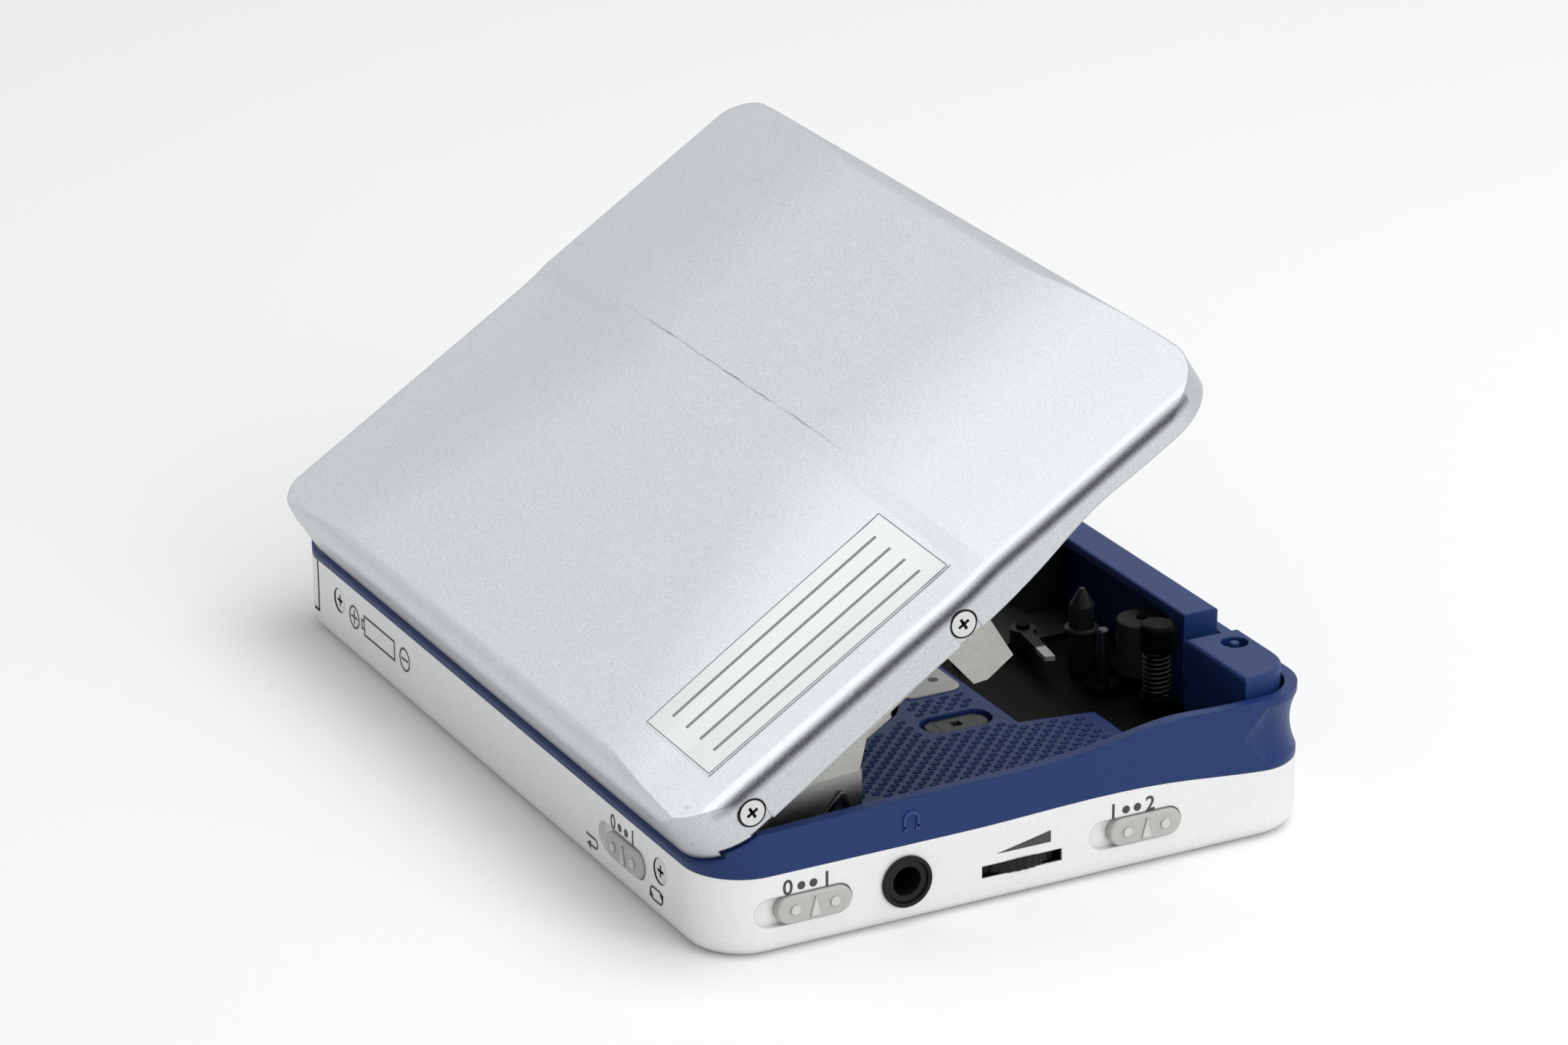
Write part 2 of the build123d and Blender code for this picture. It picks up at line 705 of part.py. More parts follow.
with BuildPart() as tape_lever:
    pivot_x, middle_y = tape_lever_pivot
    with BuildSketch(Plane.XY.offset(lever_low)):
        with BuildLine():
            Polyline((pivot_x - 1.1, middle_y + 0.9), (pivot_x - 1.5, middle_y - 0.7),
                     (locating_x - 0.4, middle_y - 2.2), (locating_x, middle_y - 1.0), close=True)
        make_face()
    extrude(amount=lever_thickness)
    disc(*tape_lever_pivot, 1.6, chassis_top + 1.0, lever_low + lever_thickness)
    disc(*tape_lever_pivot, 0.8 + running_gap, 0, far, Mode.SUBTRACT)
save(tape_lever.part, "tape_lever")

collar_top = chassis_top + 2.0
lift_head_low = 16.6
with BuildPart() as lift_post:
    disc(*lift_place, 2.2, chassis_top, collar_top)
    disc(*lift_place, 0.8, collar_top, lift_head_low)
    disc(*lift_place, 2.1, lift_head_low, block_top)
    fillet(lift_post.edges().group_by(Axis.Z)[-1], 0.5)
save(lift_post.part, "lift_post")


def biarc(start, start_way, end, end_way):
    gap = end - start
    spread = start_way + end_way
    lead = 2 * (1 - start_way.dot(end_way))
    mixed = gap.dot(spread)
    reach = (-mixed + sqrt(mixed ** 2 + lead * gap.dot(gap))) / lead
    first = start + start_way * reach
    second = end - end_way * reach
    joint = (first + second) / 2
    for low, corner, high in ((start, first, joint), (joint, second, end)):
        chord_middle = (low + high) / 2
        half_chord = (high - low).length / 2
        rise = (corner - chord_middle).length
        sag = half_chord * tan(atan2(rise, half_chord) / 2)
        ThreePointArc(low, chord_middle + (corner - chord_middle).normalized() * sag, high)


def coil_point(radius, angle, height):
    return Vector(lift_place[0] + radius * cos(angle), lift_place[1] + radius * sin(angle), height)


def coil_way(radius, angle, climb):
    slope = climb / (2 * pi)
    return Vector(-radius * sin(angle), radius * cos(angle), slope).normalized()


coil_radius = 1.55
coil_low = collar_top + spring_wire / 2
coil_turns = int((lift_head_low - collar_top - spring_wire) / spring_pitch)
coil_climb = (lift_head_low - collar_top - spring_wire) / coil_turns
with BuildPart() as lift_spring:
    with BuildLine() as coil:
        for quarter in range(4 * coil_turns):
            ends = [quarter * pi / 2, (quarter + 1) * pi / 2]
            places = [coil_point(coil_radius, angle, coil_low + coil_climb * angle / (2 * pi))
                      for angle in ends]
            ways = [coil_way(coil_radius, angle, coil_climb) for angle in ends]
            biarc(places[0], ways[0], places[1], ways[1])
    coil_start = coil.wire() ^ 0
    with BuildSketch(Plane(origin=coil_start.position, z_dir=coil_start.z_axis.direction)):
        Circle(spring_wire / 2)
    sweep(path=coil.wire())
print("lift spring gap to itself", round(coil_climb - spring_wire, 3))
save(lift_spring.part, "lift_spring")

# The blue wall and corner blocks round the far side of the bay.
wall_half = catch_x - catch_gap / 2 - 0.15
wall_top = 20.7
with BuildPart() as front_wall:
    block(-wall_half, wall_half, front_wall_back, front_wall_front, chassis_top, wall_top)
    block(-capstan_x - 5.0, capstan_x + 5.0, front_wall_back - 1, front_wall_front - 1.0,
          chassis_top - 1, wall_top - 1.2, 0, Mode.SUBTRACT)
    fillet(front_wall.edges().filter_by(Axis.X).group_by(Axis.Z)[-1], 0.3)
save(front_wall.part, "front_wall")

block_low = catch_x + catch_gap / 2 + 0.15
block_high = half_length - 2.05
with BuildPart() as corner_blocks:
    for side in (-1, 1):
        edges = sorted((side * block_low, side * block_high))
        with BuildSketch(Plane.XY.offset(chassis_top)) as outline:
            with Locations(((edges[0] + edges[1]) / 2, front - 5.4)):
                Rectangle(edges[1] - edges[0], 7.2)
            outer = outline.vertices().group_by(Axis.Y)[-1].sort_by(Axis.X)[-1 if side > 0 else 0]
            fillet(outer, 5.4)
        extrude(amount=block_top - chassis_top)
        with BuildSketch(Plane((side * (block_low + 3.45), front - 4.4, block_top))):
            Circle(1.65)
            Circle(0.55, mode=Mode.SUBTRACT)
        extrude(amount=-1.2, mode=Mode.SUBTRACT)
    chamfer(corner_blocks.faces().group_by(Axis.Z)[-1].edges().filter_by(GeomType.LINE), 0.3)
save(corner_blocks.part, "corner_blocks")

# Grey plate on the deck and the sensor lever in its slot.
with BuildPart() as tape_plate:
    block(-reel_x - 2.75, reel_x + 2.85, deck_front - 8.7, deck_front - 0.8, floor_top, floor_top + 0.2, 1.5)
save(tape_plate.part, "tape_plate")

lever_x = (sensor_slot[0] + sensor_slot[1]) / 2
lever_y = (sensor_slot[2] + sensor_slot[3]) / 2
with BuildPart() as sensor_lever:
    block(sensor_slot[0] + 0.5, sensor_slot[1] - 0.5, sensor_slot[2] + 0.6, sensor_slot[3] - 0.6,
          floor_low + 0.1, floor_top - 0.35, 1.5)
    block(lever_x - 0.6, lever_x + 0.6, lever_y - 0.6, lever_y + 0.6, 0, far, 0, Mode.SUBTRACT)
    side_disc(sensor_pin_y, sensor_pin_level, 0.4, sensor_slot[0] - 0.4, sensor_slot[1] + 0.4)
save(sensor_lever.part, "sensor_lever")

# Cover: the same closed shape serves the outside, the hollow and the sticker. Its top is lofted
# through outlines seen from the hinge, each with a level top, two bends and a short edge.
def cover_slope(y):
    return cover_plateau + (y - cover_back) * (foot_crown - cover_plateau) / (crease_foot - cover_back)


def bend_radius(before, corner, after):
    first = atan2(corner[1] - before[1], corner[0] - before[0])
    second = atan2(after[1] - corner[1], after[0] - corner[0])
    reach = bend_share * min(hypot(corner[0] - before[0], corner[1] - before[1]),
                             hypot(after[0] - corner[0], after[1] - corner[1]))
    return reach / tan(abs(second - first) / 2)


cover_outlines = [
    (cover_back - 1.0, hinge_level_half, cover_slope(cover_back - 1.0), hinge_bend_level, cover_short_edge),
    (crease_foot, foot_level_half, foot_crown, foot_bend_level, cover_short_edge - foot_edge_drop),
    (crease_middle, foot_level_half, foot_crown + crease_foot_rise, foot_bend_level + 0.12,
     cover_short_edge - 0.7 * foot_edge_drop),
    (crease_top, front_level_half, cover_crown, front_bend_level, cover_short_edge),
    (cover_front + 1.0, front_level_half, cover_crown, front_bend_level, cover_short_edge),
]


def cover_volume(inset):
    x = cover_half - inset
    edge_radius = cover_edge_fillet - inset * 0.9
    with BuildPart() as volume:
        for y, level_half, top, bend, edge in cover_outlines:
            level_end, bend_point = (level_half, top - inset), (cover_bend_x, bend - inset)
            inner_radius = bend_radius((0, top - inset), level_end, bend_point)
            outer_radius = bend_radius(level_end, bend_point, (x, edge - inset))
            with BuildSketch(Plane.XZ.offset(-y)):
                with BuildLine():
                    FilletPolyline((-x, 0), (-x, edge - inset), (-cover_bend_x, bend - inset),
                                   (-level_half, top - inset), (level_half, top - inset),
                                   (cover_bend_x, bend - inset), (x, edge - inset), (x, 0),
                                   radius=[edge_radius, outer_radius, inner_radius,
                                           inner_radius, outer_radius, edge_radius])
                    Line((x, 0), (-x, 0))
                make_face()
        loft(ruled=True)
        with BuildSketch(Plane.XY.offset(12)) as plan:
            with Locations((0, cover_middle)):
                RectangleRounded(cover_length - 2 * inset, cover_width - 2 * inset, cover_corner - inset)
        extrude(plan.sketch, amount=20, mode=Mode.INTERSECT)
        low_y = cover_back + inset
        high_y = cover_front - inset
        drop = inset - trim_lift
        with BuildSketch(Plane.YZ) as side_view:
            with BuildLine():
                FilletPolyline((low_y, 0), (low_y, cover_slope(low_y) - drop),
                               (crease_foot, foot_crown - drop), radius=cover_back_fillet - inset)
                Polyline((crease_foot, foot_crown - drop), (crease_foot, far), (crease_top, far),
                         (crease_top, cover_crown - drop))
                FilletPolyline((crease_top, cover_crown - drop), (high_y, cover_crown - drop), (high_y, 0),
                               radius=cover_front_fillet - inset)
                Line((high_y, 0), (low_y, 0))
            make_face()
        extrude(side_view.sketch, amount=far, both=True, mode=Mode.INTERSECT)
    return volume.part


cover_screws = [(pivot_y + 1.6, 17.8), (pivot_y + 33.2, 18.0)]
screw_recess = 0.35
cover_low_line = [(-far, cover_back_low), (cover_back + 2.5, cover_back_low),
                  (cover_back + 2.5, rim_height + cover_seam_gap)]
with BuildPart() as cover_shell:
    add(cover_volume(0.0))
    add(cover_volume(cover_wall), mode=Mode.SUBTRACT)
    across(above_rim(cover_seam_gap, cover_low_line), Mode.INTERSECT)
    for side in (-1, 1):
        for y, z in cover_screws:
            edges = sorted((side * flange_out, side * (cover_half - 0.5)))
            side_disc(y, z, 1.6, *edges)
            edges = sorted((side * (cover_half - screw_recess), side * far))
            side_disc(y, z, screw_radius + 0.25, *edges, Mode.SUBTRACT)
            side_plate([(y - 1.6, z), (y - 1.6, 0), (y + 1.6, 0), (y + 1.6, z)], *edges, Mode.SUBTRACT)
            side_disc(y, z, 0.72, *sorted((side * tab_hole_start, side * far)), Mode.SUBTRACT)
save_open(cover_shell.part, "cover_shell")

with BuildPart() as cover_label:
    add(cover_volume(-0.12))
    add(cover_volume(0.0), mode=Mode.SUBTRACT)
    with BuildSketch(Plane.XY.offset(18)):
        with Locations((cover_half - 12.9, pivot_y + 18.9)):
            Rectangle(14.9, 36.0)
    extrude(amount=20, mode=Mode.INTERSECT)
save_open(cover_label.part, "cover_label")


def cross_recess(plane):
    with BuildSketch(plane) as cross:
        Rectangle(1.5, 0.36)
        Rectangle(0.36, 1.5)
    extrude(cross.sketch, amount=-0.3, mode=Mode.SUBTRACT)


with BuildPart() as cover_screw_set:
    for side in (-1, 1):
        for y, z in cover_screws:
            head_face = side * (cover_half - 0.02)
            edges = sorted((side * (cover_half - screw_recess), head_face))
            side_disc(y, z, screw_radius, *edges)
            edges = sorted((side * flange_in, side * (cover_half - screw_recess)))
            side_disc(y, z, 0.7, *edges)
            cross_recess(Plane((head_face, y, z), (0, 1, 0), (side, 0, 0)))
save_open(cover_screw_set.part, "cover_screws")

# Steel cassette holder under the cover, drawn closed.
side_arm_in = half_length - 20.75
leaf_x = side_arm_in + 0.5
leaf_width = 5.0
leaf_y = pivot_y + 9.8
with BuildPart() as cassette_holder:
    block(-flange_out, flange_out, holder_back, back + 51.5, holder_low, holder_top)
    for side in (-1, 1):
        edges = sorted((side * flange_in, side * flange_out))
        side_plate([
            (pivot_y - 1.5, pivot_height - 1.6), (pivot_y + 2.0, pivot_height - 1.6),
            (pivot_y + 3.0, 14.0), (pivot_y + 9.4, 13.6), (pivot_y + 14.5, 10.7),
            (pivot_y + 17.6, 13.7), (pivot_y + 30.0, 14.3), (pivot_y + 30.8, 9.2),
            (pivot_y + 32.4, 8.4), (pivot_y + 36.4, 8.6), (pivot_y + 36.5, 14.4),
            (pivot_y + 44.0, 15.8), (pivot_y + 57.0, holder_low),
            (pivot_y + 57.0, holder_top), (pivot_y - 1.5, holder_top)], *edges)
        side_disc(pivot_y, pivot_height, hinge_pin_radius + hinge_running_gap,
                  *sorted((side * tab_hole_start, side * far)), Mode.SUBTRACT)
        for y, z in cover_screws:
            side_disc(y, z, 0.72, *sorted((side * tab_hole_start, side * far)), Mode.SUBTRACT)
        edges = sorted((side * side_arm_in, side * flange_out))
        block(*edges, back + 51.4, pivot_y + 57.0, holder_low, holder_top)
        edges = sorted((side * channel_in, side * channel_out))
        block(*edges, holder_back, lip_front, lip_low, holder_low)
        edges = sorted((side * (channel_in - 2.0), side * channel_out))
        block(*edges, holder_back, lip_front, lip_low, lip_low + holder_sheet)
    for side in (-1, 1):
        with BuildSketch(Plane.YZ.offset(side * leaf_x - leaf_width / 2)):
            with BuildLine():
                FilletPolyline((leaf_y, holder_low), (leaf_y, holder_low - 0.25),
                               (leaf_y + 6, holder_low - 0.25), (leaf_y + 16, holder_low - 1.1),
                               (leaf_y + 26, holder_low - 0.3), (leaf_y + 26, holder_low - 0.05),
                               (leaf_y + 16, holder_low - 0.85), (leaf_y + 6, holder_low), radius=0.05)
                Line((leaf_y + 6, holder_low), (leaf_y, holder_low))
            make_face()
        extrude(amount=leaf_width)
save_open(cassette_holder.part, "cassette_holder")

# Catch tongue hanging from the cover.
tongue_y = front - 3.9
with BuildPart() as catch_tongue:
    block(catch_x, catch_x + 1.4, tongue_y - 0.7, tongue_y + 0.7, 10.9, 26)
    block(catch_x - 1.5, catch_x + 3.0, tongue_y - 3.0, tongue_y + 0.7, 20.6, 26)
    add(cover_volume(cover_wall), mode=Mode.INTERSECT)
    block(catch_x - 1, catch_x + 0.8, tongue_y - 2, tongue_y + 2, 11.2, 12.1, 0, Mode.SUBTRACT)
save_open(catch_tongue.part, "catch_tongue")

# Hinge brackets on the deck, the hinge pins of cover and battery door, and the bent leaf springs.
bracket_top = floor_top + 8.0
with BuildPart() as hinge_brackets:
    for side in (-1, 1):
        edges = sorted((side * bracket_in, side * bracket_out))
        with BuildSketch(Plane.YZ.offset(edges[0])) as outline:
            with BuildLine():
                Polyline((pivot_y - 2.4, floor_top), (pivot_y + 15.2, floor_top),
                         (pivot_y + 15.2, bracket_top), (pivot_y + 3.0, bracket_top),
                         (pivot_y - 2.4, bracket_top - 2.1), close=True)
            make_face()
            fillet(outline.vertices().sort_by(Axis.Z)[-1:], 1.2)
        extrude(amount=bracket_sheet)
        edges = sorted((side * (bracket_in - 2.0), side * bracket_out))
        block(*edges, pivot_y + 4.0, pivot_y + 14.0, floor_top, floor_top + 0.5)
        side_disc(pivot_y, pivot_height, hinge_pin_radius + 0.01,
                  *sorted((side * tab_hole_start, side * far)), Mode.SUBTRACT)
save(hinge_brackets.part, "hinge_brackets")

with BuildPart() as hinge_pins:
    for side in (-1, 1):
        side_disc(pivot_y, pivot_height, hinge_pin_radius, *sorted((side * bracket_in, side * flange_out)))
        side_disc(pivot_y, pivot_height, 1.7, *sorted((side * (bracket_in - 0.5), side * bracket_in)))
    disc(*door_pivot, door_pin_radius, 2.4, seam_height + 0.5)
save(hinge_pins.part, "hinge_pins")

with BuildPart() as leaf_springs:
    for side in (-1, 1):
        edges = sorted((side * bracket_out, side * (bracket_out + 0.55)))
        foot_y, foot_z = pivot_y + 10.0, bracket_top - 5.1
        side_plate([(foot_y - 0.4, foot_z + 0.4), (foot_y + 2.3, foot_z + 3.2), (foot_y + 2.9, foot_z + 3.0),
                    (foot_y + 3.9, foot_z), (foot_y + 3.4, foot_z - 0.2), (foot_y + 2.4, foot_z + 2.4),
                    (foot_y, foot_z)], *edges)
save(leaf_springs.part, "leaf_springs")

# Circuit board with the bodies of the switches, the volume control and the socket.
tube_low_x = -half_length + 4.65
tube_high_x = -half_length + 3.45 + cell_length
tube_back = inner_back + 0.8
tube_front = tube_back + cell_width + 2 * cell_play + 2 * tube_wall
with BuildPart() as circuit_board:
    block(tube_high_x + tube_wall + 1, inner_x - 0.4, inner_back + 0.4, front - 5.0,
          board_low, board_top, 5.0)
    block(catch_x - 5, catch_x + 5, front - 8.0, far, 0, far, 0, Mode.SUBTRACT)
save(circuit_board.part, "circuit_board")

wheel_x = half_length + wheel_proud - wheel_radius
wheel_low = wheel_level - wheel_thickness / 2
wheel_high = wheel_low + wheel_thickness
stem_reach = 1.6
switch_play = 0.35
body_face = case_wall + 1.25
with BuildPart() as board_controls:
    for plane in control_slots.values():
        low = board_top - slot_level
        with BuildSketch(plane.offset(-body_face)) as outline:
            with Locations((0, (low + 2.1) / 2)):
                Rectangle(10.0, 2.1 - low)
        extrude(outline.sketch, amount=-4.4)
        with BuildSketch(plane.offset(-body_face)) as outline:
            Rectangle(stem_width + knob_travel + 2 * switch_play, stem_height + 2 * switch_play)
        extrude(outline.sketch, amount=-stem_reach, mode=Mode.SUBTRACT)
    disc(wheel_x, wheel_y, 5.5, board_top, wheel_low - 0.1)
    disc(wheel_x, wheel_y, 1.5, board_top, wheel_high + 0.1)
    disc(wheel_x, wheel_y, 2.4, wheel_high + 0.1, wheel_high + 0.6)
save(board_controls.part, "board_controls")

knob_length = slot_length - knob_travel - 2 * knob_play
for name, plane in control_slots.items():
    rest = Plane(plane.origin + plane.x_dir * (knob_travel / 2), plane.x_dir, plane.z_dir)
    with BuildPart() as slide_knob:
        with BuildSketch(rest.offset(running_gap - recess_depth)):
            SlotOverall(knob_length, slot_height - 2 * knob_play)
        extrude(amount=recess_depth - running_gap + knob_proud)
        fillet(slide_knob.faces().sort_by(Axis(plane.origin, plane.z_dir))[-1].edges(), 0.3)
        with BuildSketch(rest.offset(knob_proud - 0.1)):
            with Locations((-2.5, 0), (2.5, 0)):
                Circle(0.6)
            Polygon((-0.65, -1.2), (0.65, -1.2), (0, 1.2), align=None)
        extrude(amount=0.3)
        with BuildSketch(rest.offset(-body_face - stem_reach + 0.3)):
            Rectangle(stem_width, stem_height)
        extrude(amount=body_face + stem_reach - 0.3 - recess_depth + running_gap)
    save(slide_knob.part, name)

with BuildPart() as volume_wheel:
    disc(wheel_x, wheel_y, wheel_radius, wheel_low, wheel_low + wheel_thickness)
    disc(wheel_x, wheel_y, 1.5 + running_gap, 0, far, Mode.SUBTRACT)
    with BuildSketch(Plane((wheel_x, wheel_y, wheel_low))):
        with PolarLocations(wheel_radius + 0.25, 48):
            Circle(0.4)
    extrude(amount=wheel_thickness, mode=Mode.SUBTRACT)
save(volume_wheel.part, "volume_wheel")

jack_mouth = half_length + 0.15
with BuildPart() as headphone_jack:
    block(jack_mouth - jack_depth - 0.8, inner_x - 0.05, jack_y - 3.3, jack_y + 3.3, board_top,
          jack_level + jack_radius + 0.5)
    side_disc(jack_y, jack_level, jack_nose, inner_x - 0.1, jack_mouth)
    side_disc(jack_y, jack_level, jack_radius, jack_mouth - jack_depth, far, Mode.SUBTRACT)
save(headphone_jack.part, "headphone_jack")

with BuildPart() as jack_ring:
    side_disc(jack_y, jack_level, jack_ring_radius, half_length, half_length + 0.5)
    side_disc(jack_y, jack_level, jack_nose + 0.02, 0, far, Mode.SUBTRACT)
    fillet(jack_ring.faces().sort_by(Axis.X)[-1].edges(), 0.15)
save(jack_ring.part, "jack_ring")

# Battery tube along the hinge side, with a contact at its inner end and one on the door.
with BuildPart() as battery_tube:
    block(tube_low_x, tube_high_x + tube_wall, tube_back, tube_front, case_wall, floor_low)
    block(-far, tube_high_x, tube_back + tube_wall, tube_front - tube_wall, case_wall + tube_wall,
          floor_low - tube_wall, 0, Mode.SUBTRACT)
save(battery_tube.part, "battery_tube")

tube_middle = (tube_back + tube_front) / 2
cell_level = (case_wall + floor_low) / 2
with BuildPart() as battery_contact:
    block(tube_high_x - 0.25, tube_high_x, tube_middle - 5, tube_middle + 5, cell_level - 2, cell_level + 2)
    side_disc(tube_middle, cell_level, 1.6, tube_high_x - 0.7, tube_high_x)
save(battery_contact.part, "battery_contact")

with BuildPart() as door_contact:
    block(-inner_x, -inner_x + 0.25, tube_middle - 4, tube_middle + 5, cell_level - 1.8, cell_level + 2)
    side_disc(tube_middle, cell_level, 1.6, -inner_x, -inner_x + 0.7)
save(door_contact.part, "door_contact")

# Transport keys on the long face away from the hinge, with their leaf comb.
flange_back = inner_front - 1.1
for x, name in zip(key_places, ("rewind_key", "play_key", "forward_key", "stop_key")):
    with BuildPart() as key:
        with BuildSketch(Plane.XZ.offset(-front - 0.5)):
            with Locations((x, key_level)):
                RectangleRounded(key_length, key_height, 0.5)
        extrude(amount=front + 0.5 - flange_back)
        fillet(key.faces().sort_by(Axis.Y)[-1].edges(), 0.25)
        block(x - key_length / 2 - 0.5, x + key_length / 2 + 0.5, flange_back, inner_front - 0.1,
              key_level - key_height / 2 - 0.5, key_level + key_height / 2 + 0.5)
    save(key.part, name)

comb_front = flange_back - key_travel - 0.3
comb_low_x = key_places[0] - key_length / 2
comb_high_x = key_places[-1] + key_length / 2
with BuildPart() as key_springs:
    block(comb_low_x, comb_high_x, comb_front - 0.3, comb_front, case_wall, 7.4)
    block(comb_low_x, comb_high_x, comb_front - 1.6, comb_front, case_wall, case_wall + 0.3)
    for low, high in zip(key_places, key_places[1:]):
        block((low + high) / 2 - 0.6, (low + high) / 2 + 0.6, 0, far, 3.0, far, 0, Mode.SUBTRACT)
save(key_springs.part, "key_springs")

# Open slider on the same face and the steel hook that it carries.
slider_rest = slider_x - slider_travel / 2
hook_face = inner_front - 0.9
with BuildPart() as open_slider:
    with BuildSketch(Plane.XZ.offset(-front - 0.85)):
        with Locations((slider_rest, key_level)):
            RectangleRounded(8.0, 2.8, 0.8)
    extrude(amount=0.8)
    with BuildSketch(Plane.XZ.offset(-front - 0.2)):
        with Locations((slider_rest, key_level)):
            Rectangle(slider_stem, 1.5)
    extrude(amount=front + 0.2 - hook_face)
save(open_slider.part, "open_slider")

finger_tip = catch_x - 0.8
with BuildPart() as catch_hook:
    block(finger_tip - 1.3, finger_tip - 0.1, hook_face - 0.5, hook_face, 4.4, 11.95)
    block(finger_tip - 1.3, finger_tip, tongue_y - 0.6, hook_face, 11.4, 11.95)
save(catch_hook.part, "catch_hook")

with BuildPart() as case_screws:
    for x in case_screw_places:
        with BuildSketch(Plane.XZ.offset(-back - 0.7)):
            with Locations((x, case_screw_level)):
                Circle(screw_radius)
        extrude(amount=screw_head)
        with BuildSketch(Plane.XZ.offset(-inner_back - 0.7)):
            with Locations((x, case_screw_level)):
                Circle(screw_shank)
        extrude(amount=case_wall)
        cross_recess(Plane((x, back + 0.7 - screw_head, case_screw_level), (1, 0, 0), (0, -1, 0)))
save(case_screws.part, "case_screws")
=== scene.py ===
import json
import math

import bmesh
import bpy
from mathutils import Matrix, Vector
from mathutils.bvhtree import BVHTree


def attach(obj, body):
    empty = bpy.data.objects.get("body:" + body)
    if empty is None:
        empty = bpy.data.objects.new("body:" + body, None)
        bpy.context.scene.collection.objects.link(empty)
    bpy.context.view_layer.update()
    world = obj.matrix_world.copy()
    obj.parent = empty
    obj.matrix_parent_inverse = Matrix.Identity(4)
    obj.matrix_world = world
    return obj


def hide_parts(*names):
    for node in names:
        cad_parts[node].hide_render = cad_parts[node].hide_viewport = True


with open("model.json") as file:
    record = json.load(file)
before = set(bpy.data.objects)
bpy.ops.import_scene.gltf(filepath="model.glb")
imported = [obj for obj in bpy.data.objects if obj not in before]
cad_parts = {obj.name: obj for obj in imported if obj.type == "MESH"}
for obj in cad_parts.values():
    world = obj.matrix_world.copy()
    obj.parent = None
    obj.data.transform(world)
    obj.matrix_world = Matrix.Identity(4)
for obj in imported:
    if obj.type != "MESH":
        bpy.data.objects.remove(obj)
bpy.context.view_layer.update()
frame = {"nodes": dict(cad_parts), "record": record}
nodes = frame["nodes"]
mm = 0.001
print("frame loaded:", len(nodes), "nodes")

# Camera at the photograph's angle
photoCamera = {"azimuth": 62.51, "elevation": 23.01, "roll": -0.44, "lift": 1.01, "distance": 0.7026,
               "aimHeight": 0.012, "lens": 133.2, "sensor": 36, "nearest": 0.01, "farthest": 30}


def addObject(name, data):
    made = bpy.data.objects.new(name, data)
    bpy.context.collection.objects.link(made)
    return made


def placeCamera(given):
    azimuth, elevation, roll, lift = (math.radians(given[key])
                                      for key in ("azimuth", "elevation", "roll", "lift"))
    back = Vector((math.sin(azimuth) * math.cos(elevation), -math.cos(azimuth) * math.cos(elevation),
                   math.sin(elevation)))
    level = Vector((math.cos(azimuth), math.sin(azimuth), 0))
    steep = back.cross(level)
    right = level * math.cos(roll) + steep * math.sin(roll)
    up = steep * math.cos(roll) - level * math.sin(roll)
    aimed = up * math.sin(lift) - back * math.cos(lift)
    upright = up * math.cos(lift) + back * math.sin(lift)
    lens = bpy.data.cameras.new("photoCamera")
    lens.lens = given["lens"]
    lens.sensor_width = given["sensor"]
    lens.clip_start, lens.clip_end = given["nearest"], given["farthest"]
    camera = addObject("photoCamera", lens)
    place = Vector((0, 0, given["aimHeight"])) + back * given["distance"]
    camera.matrix_world = Matrix.Translation(place) @ Matrix((right, upright, -aimed)).transposed().to_4x4()
    bpy.context.scene.camera = camera


placeCamera(photoCamera)


# Small helpers for node trees
def addNode(tree, kind, settings=None, inputs=None):
    made = tree.nodes.new(kind)
    for name, value in (settings or {}).items():
        setattr(made, name, value)
    for name, value in (inputs or {}).items():
        if isinstance(value, bpy.types.NodeSocket):
            tree.links.new(value, made.inputs[name])
        else:
            made.inputs[name].default_value = value
    return made


def maths(tree, operation, *values):
    return addNode(tree, "ShaderNodeMath", {"operation": operation}, dict(enumerate(values))).outputs[0]


def product(tree, first, *others):
    for other in others:
        first = maths(tree, "MULTIPLY", first, other)
    return first


def remap(tree, value, low, high, toLow=0.0, toHigh=1.0, smooth=False):
    # carries a value from one range to another and holds it at both ends
    settings = {"interpolation_type": "SMOOTHSTEP"} if smooth else None
    return addNode(tree, "ShaderNodeMapRange", settings,
                   {"Value": value, "From Min": low, "From Max": high, "To Min": toLow,
                    "To Max": toHigh}).outputs[0]


def dotProduct(tree, first, second):
    return addNode(tree, "ShaderNodeVectorMath", {"operation": "DOT_PRODUCT"},
                   {0: first, 1: second}).outputs["Value"]


def splitVector(tree, vector):
    return addNode(tree, "ShaderNodeSeparateXYZ", None, {0: vector}).outputs


def blendColour(tree, share, first, second):
    mixed = addNode(tree, "ShaderNodeMix", {"data_type": "RGBA"})
    for index, value in ((0, share), (6, first), (7, second)):
        if isinstance(value, bpy.types.NodeSocket):
            tree.links.new(value, mixed.inputs[index])
        else:
            mixed.inputs[index].default_value = (*value, 1.0) if index else value
    return mixed.outputs[2]


def newGroup(name, takes, gives, kind="ShaderNodeTree"):
    group = bpy.data.node_groups.new(name, kind)
    for label, socketKind, value in takes:
        socket = group.interface.new_socket(label, in_out="INPUT", socket_type="NodeSocket" + socketKind)
        if value is not None:
            socket.default_value = value
    for label, socketKind in gives:
        group.interface.new_socket(label, in_out="OUTPUT", socket_type="NodeSocket" + socketKind)
    return group, group.nodes.new("NodeGroupInput").outputs, group.nodes.new("NodeGroupOutput").inputs


def useGroup(tree, group, inputs):
    return addNode(tree, "ShaderNodeGroup", {"node_tree": group}, inputs).outputs


# Effects that several finishes share; the sizes that they take are in mm
effects = {"grainDetail": 2.0, "bevelSamples": 8, "edgeSharpness": 6.0, "patchDetail": 4.0, "patchFrom": 0.45,
           "patchTo": 0.65, "brushDetail": 3.0, "brushRoughness": 0.65, "speckCore": 0.4}


def scaleFor(group, size):
    # a texture's scale for features of this size
    return maths(group, "DIVIDE", 1 / mm, size)


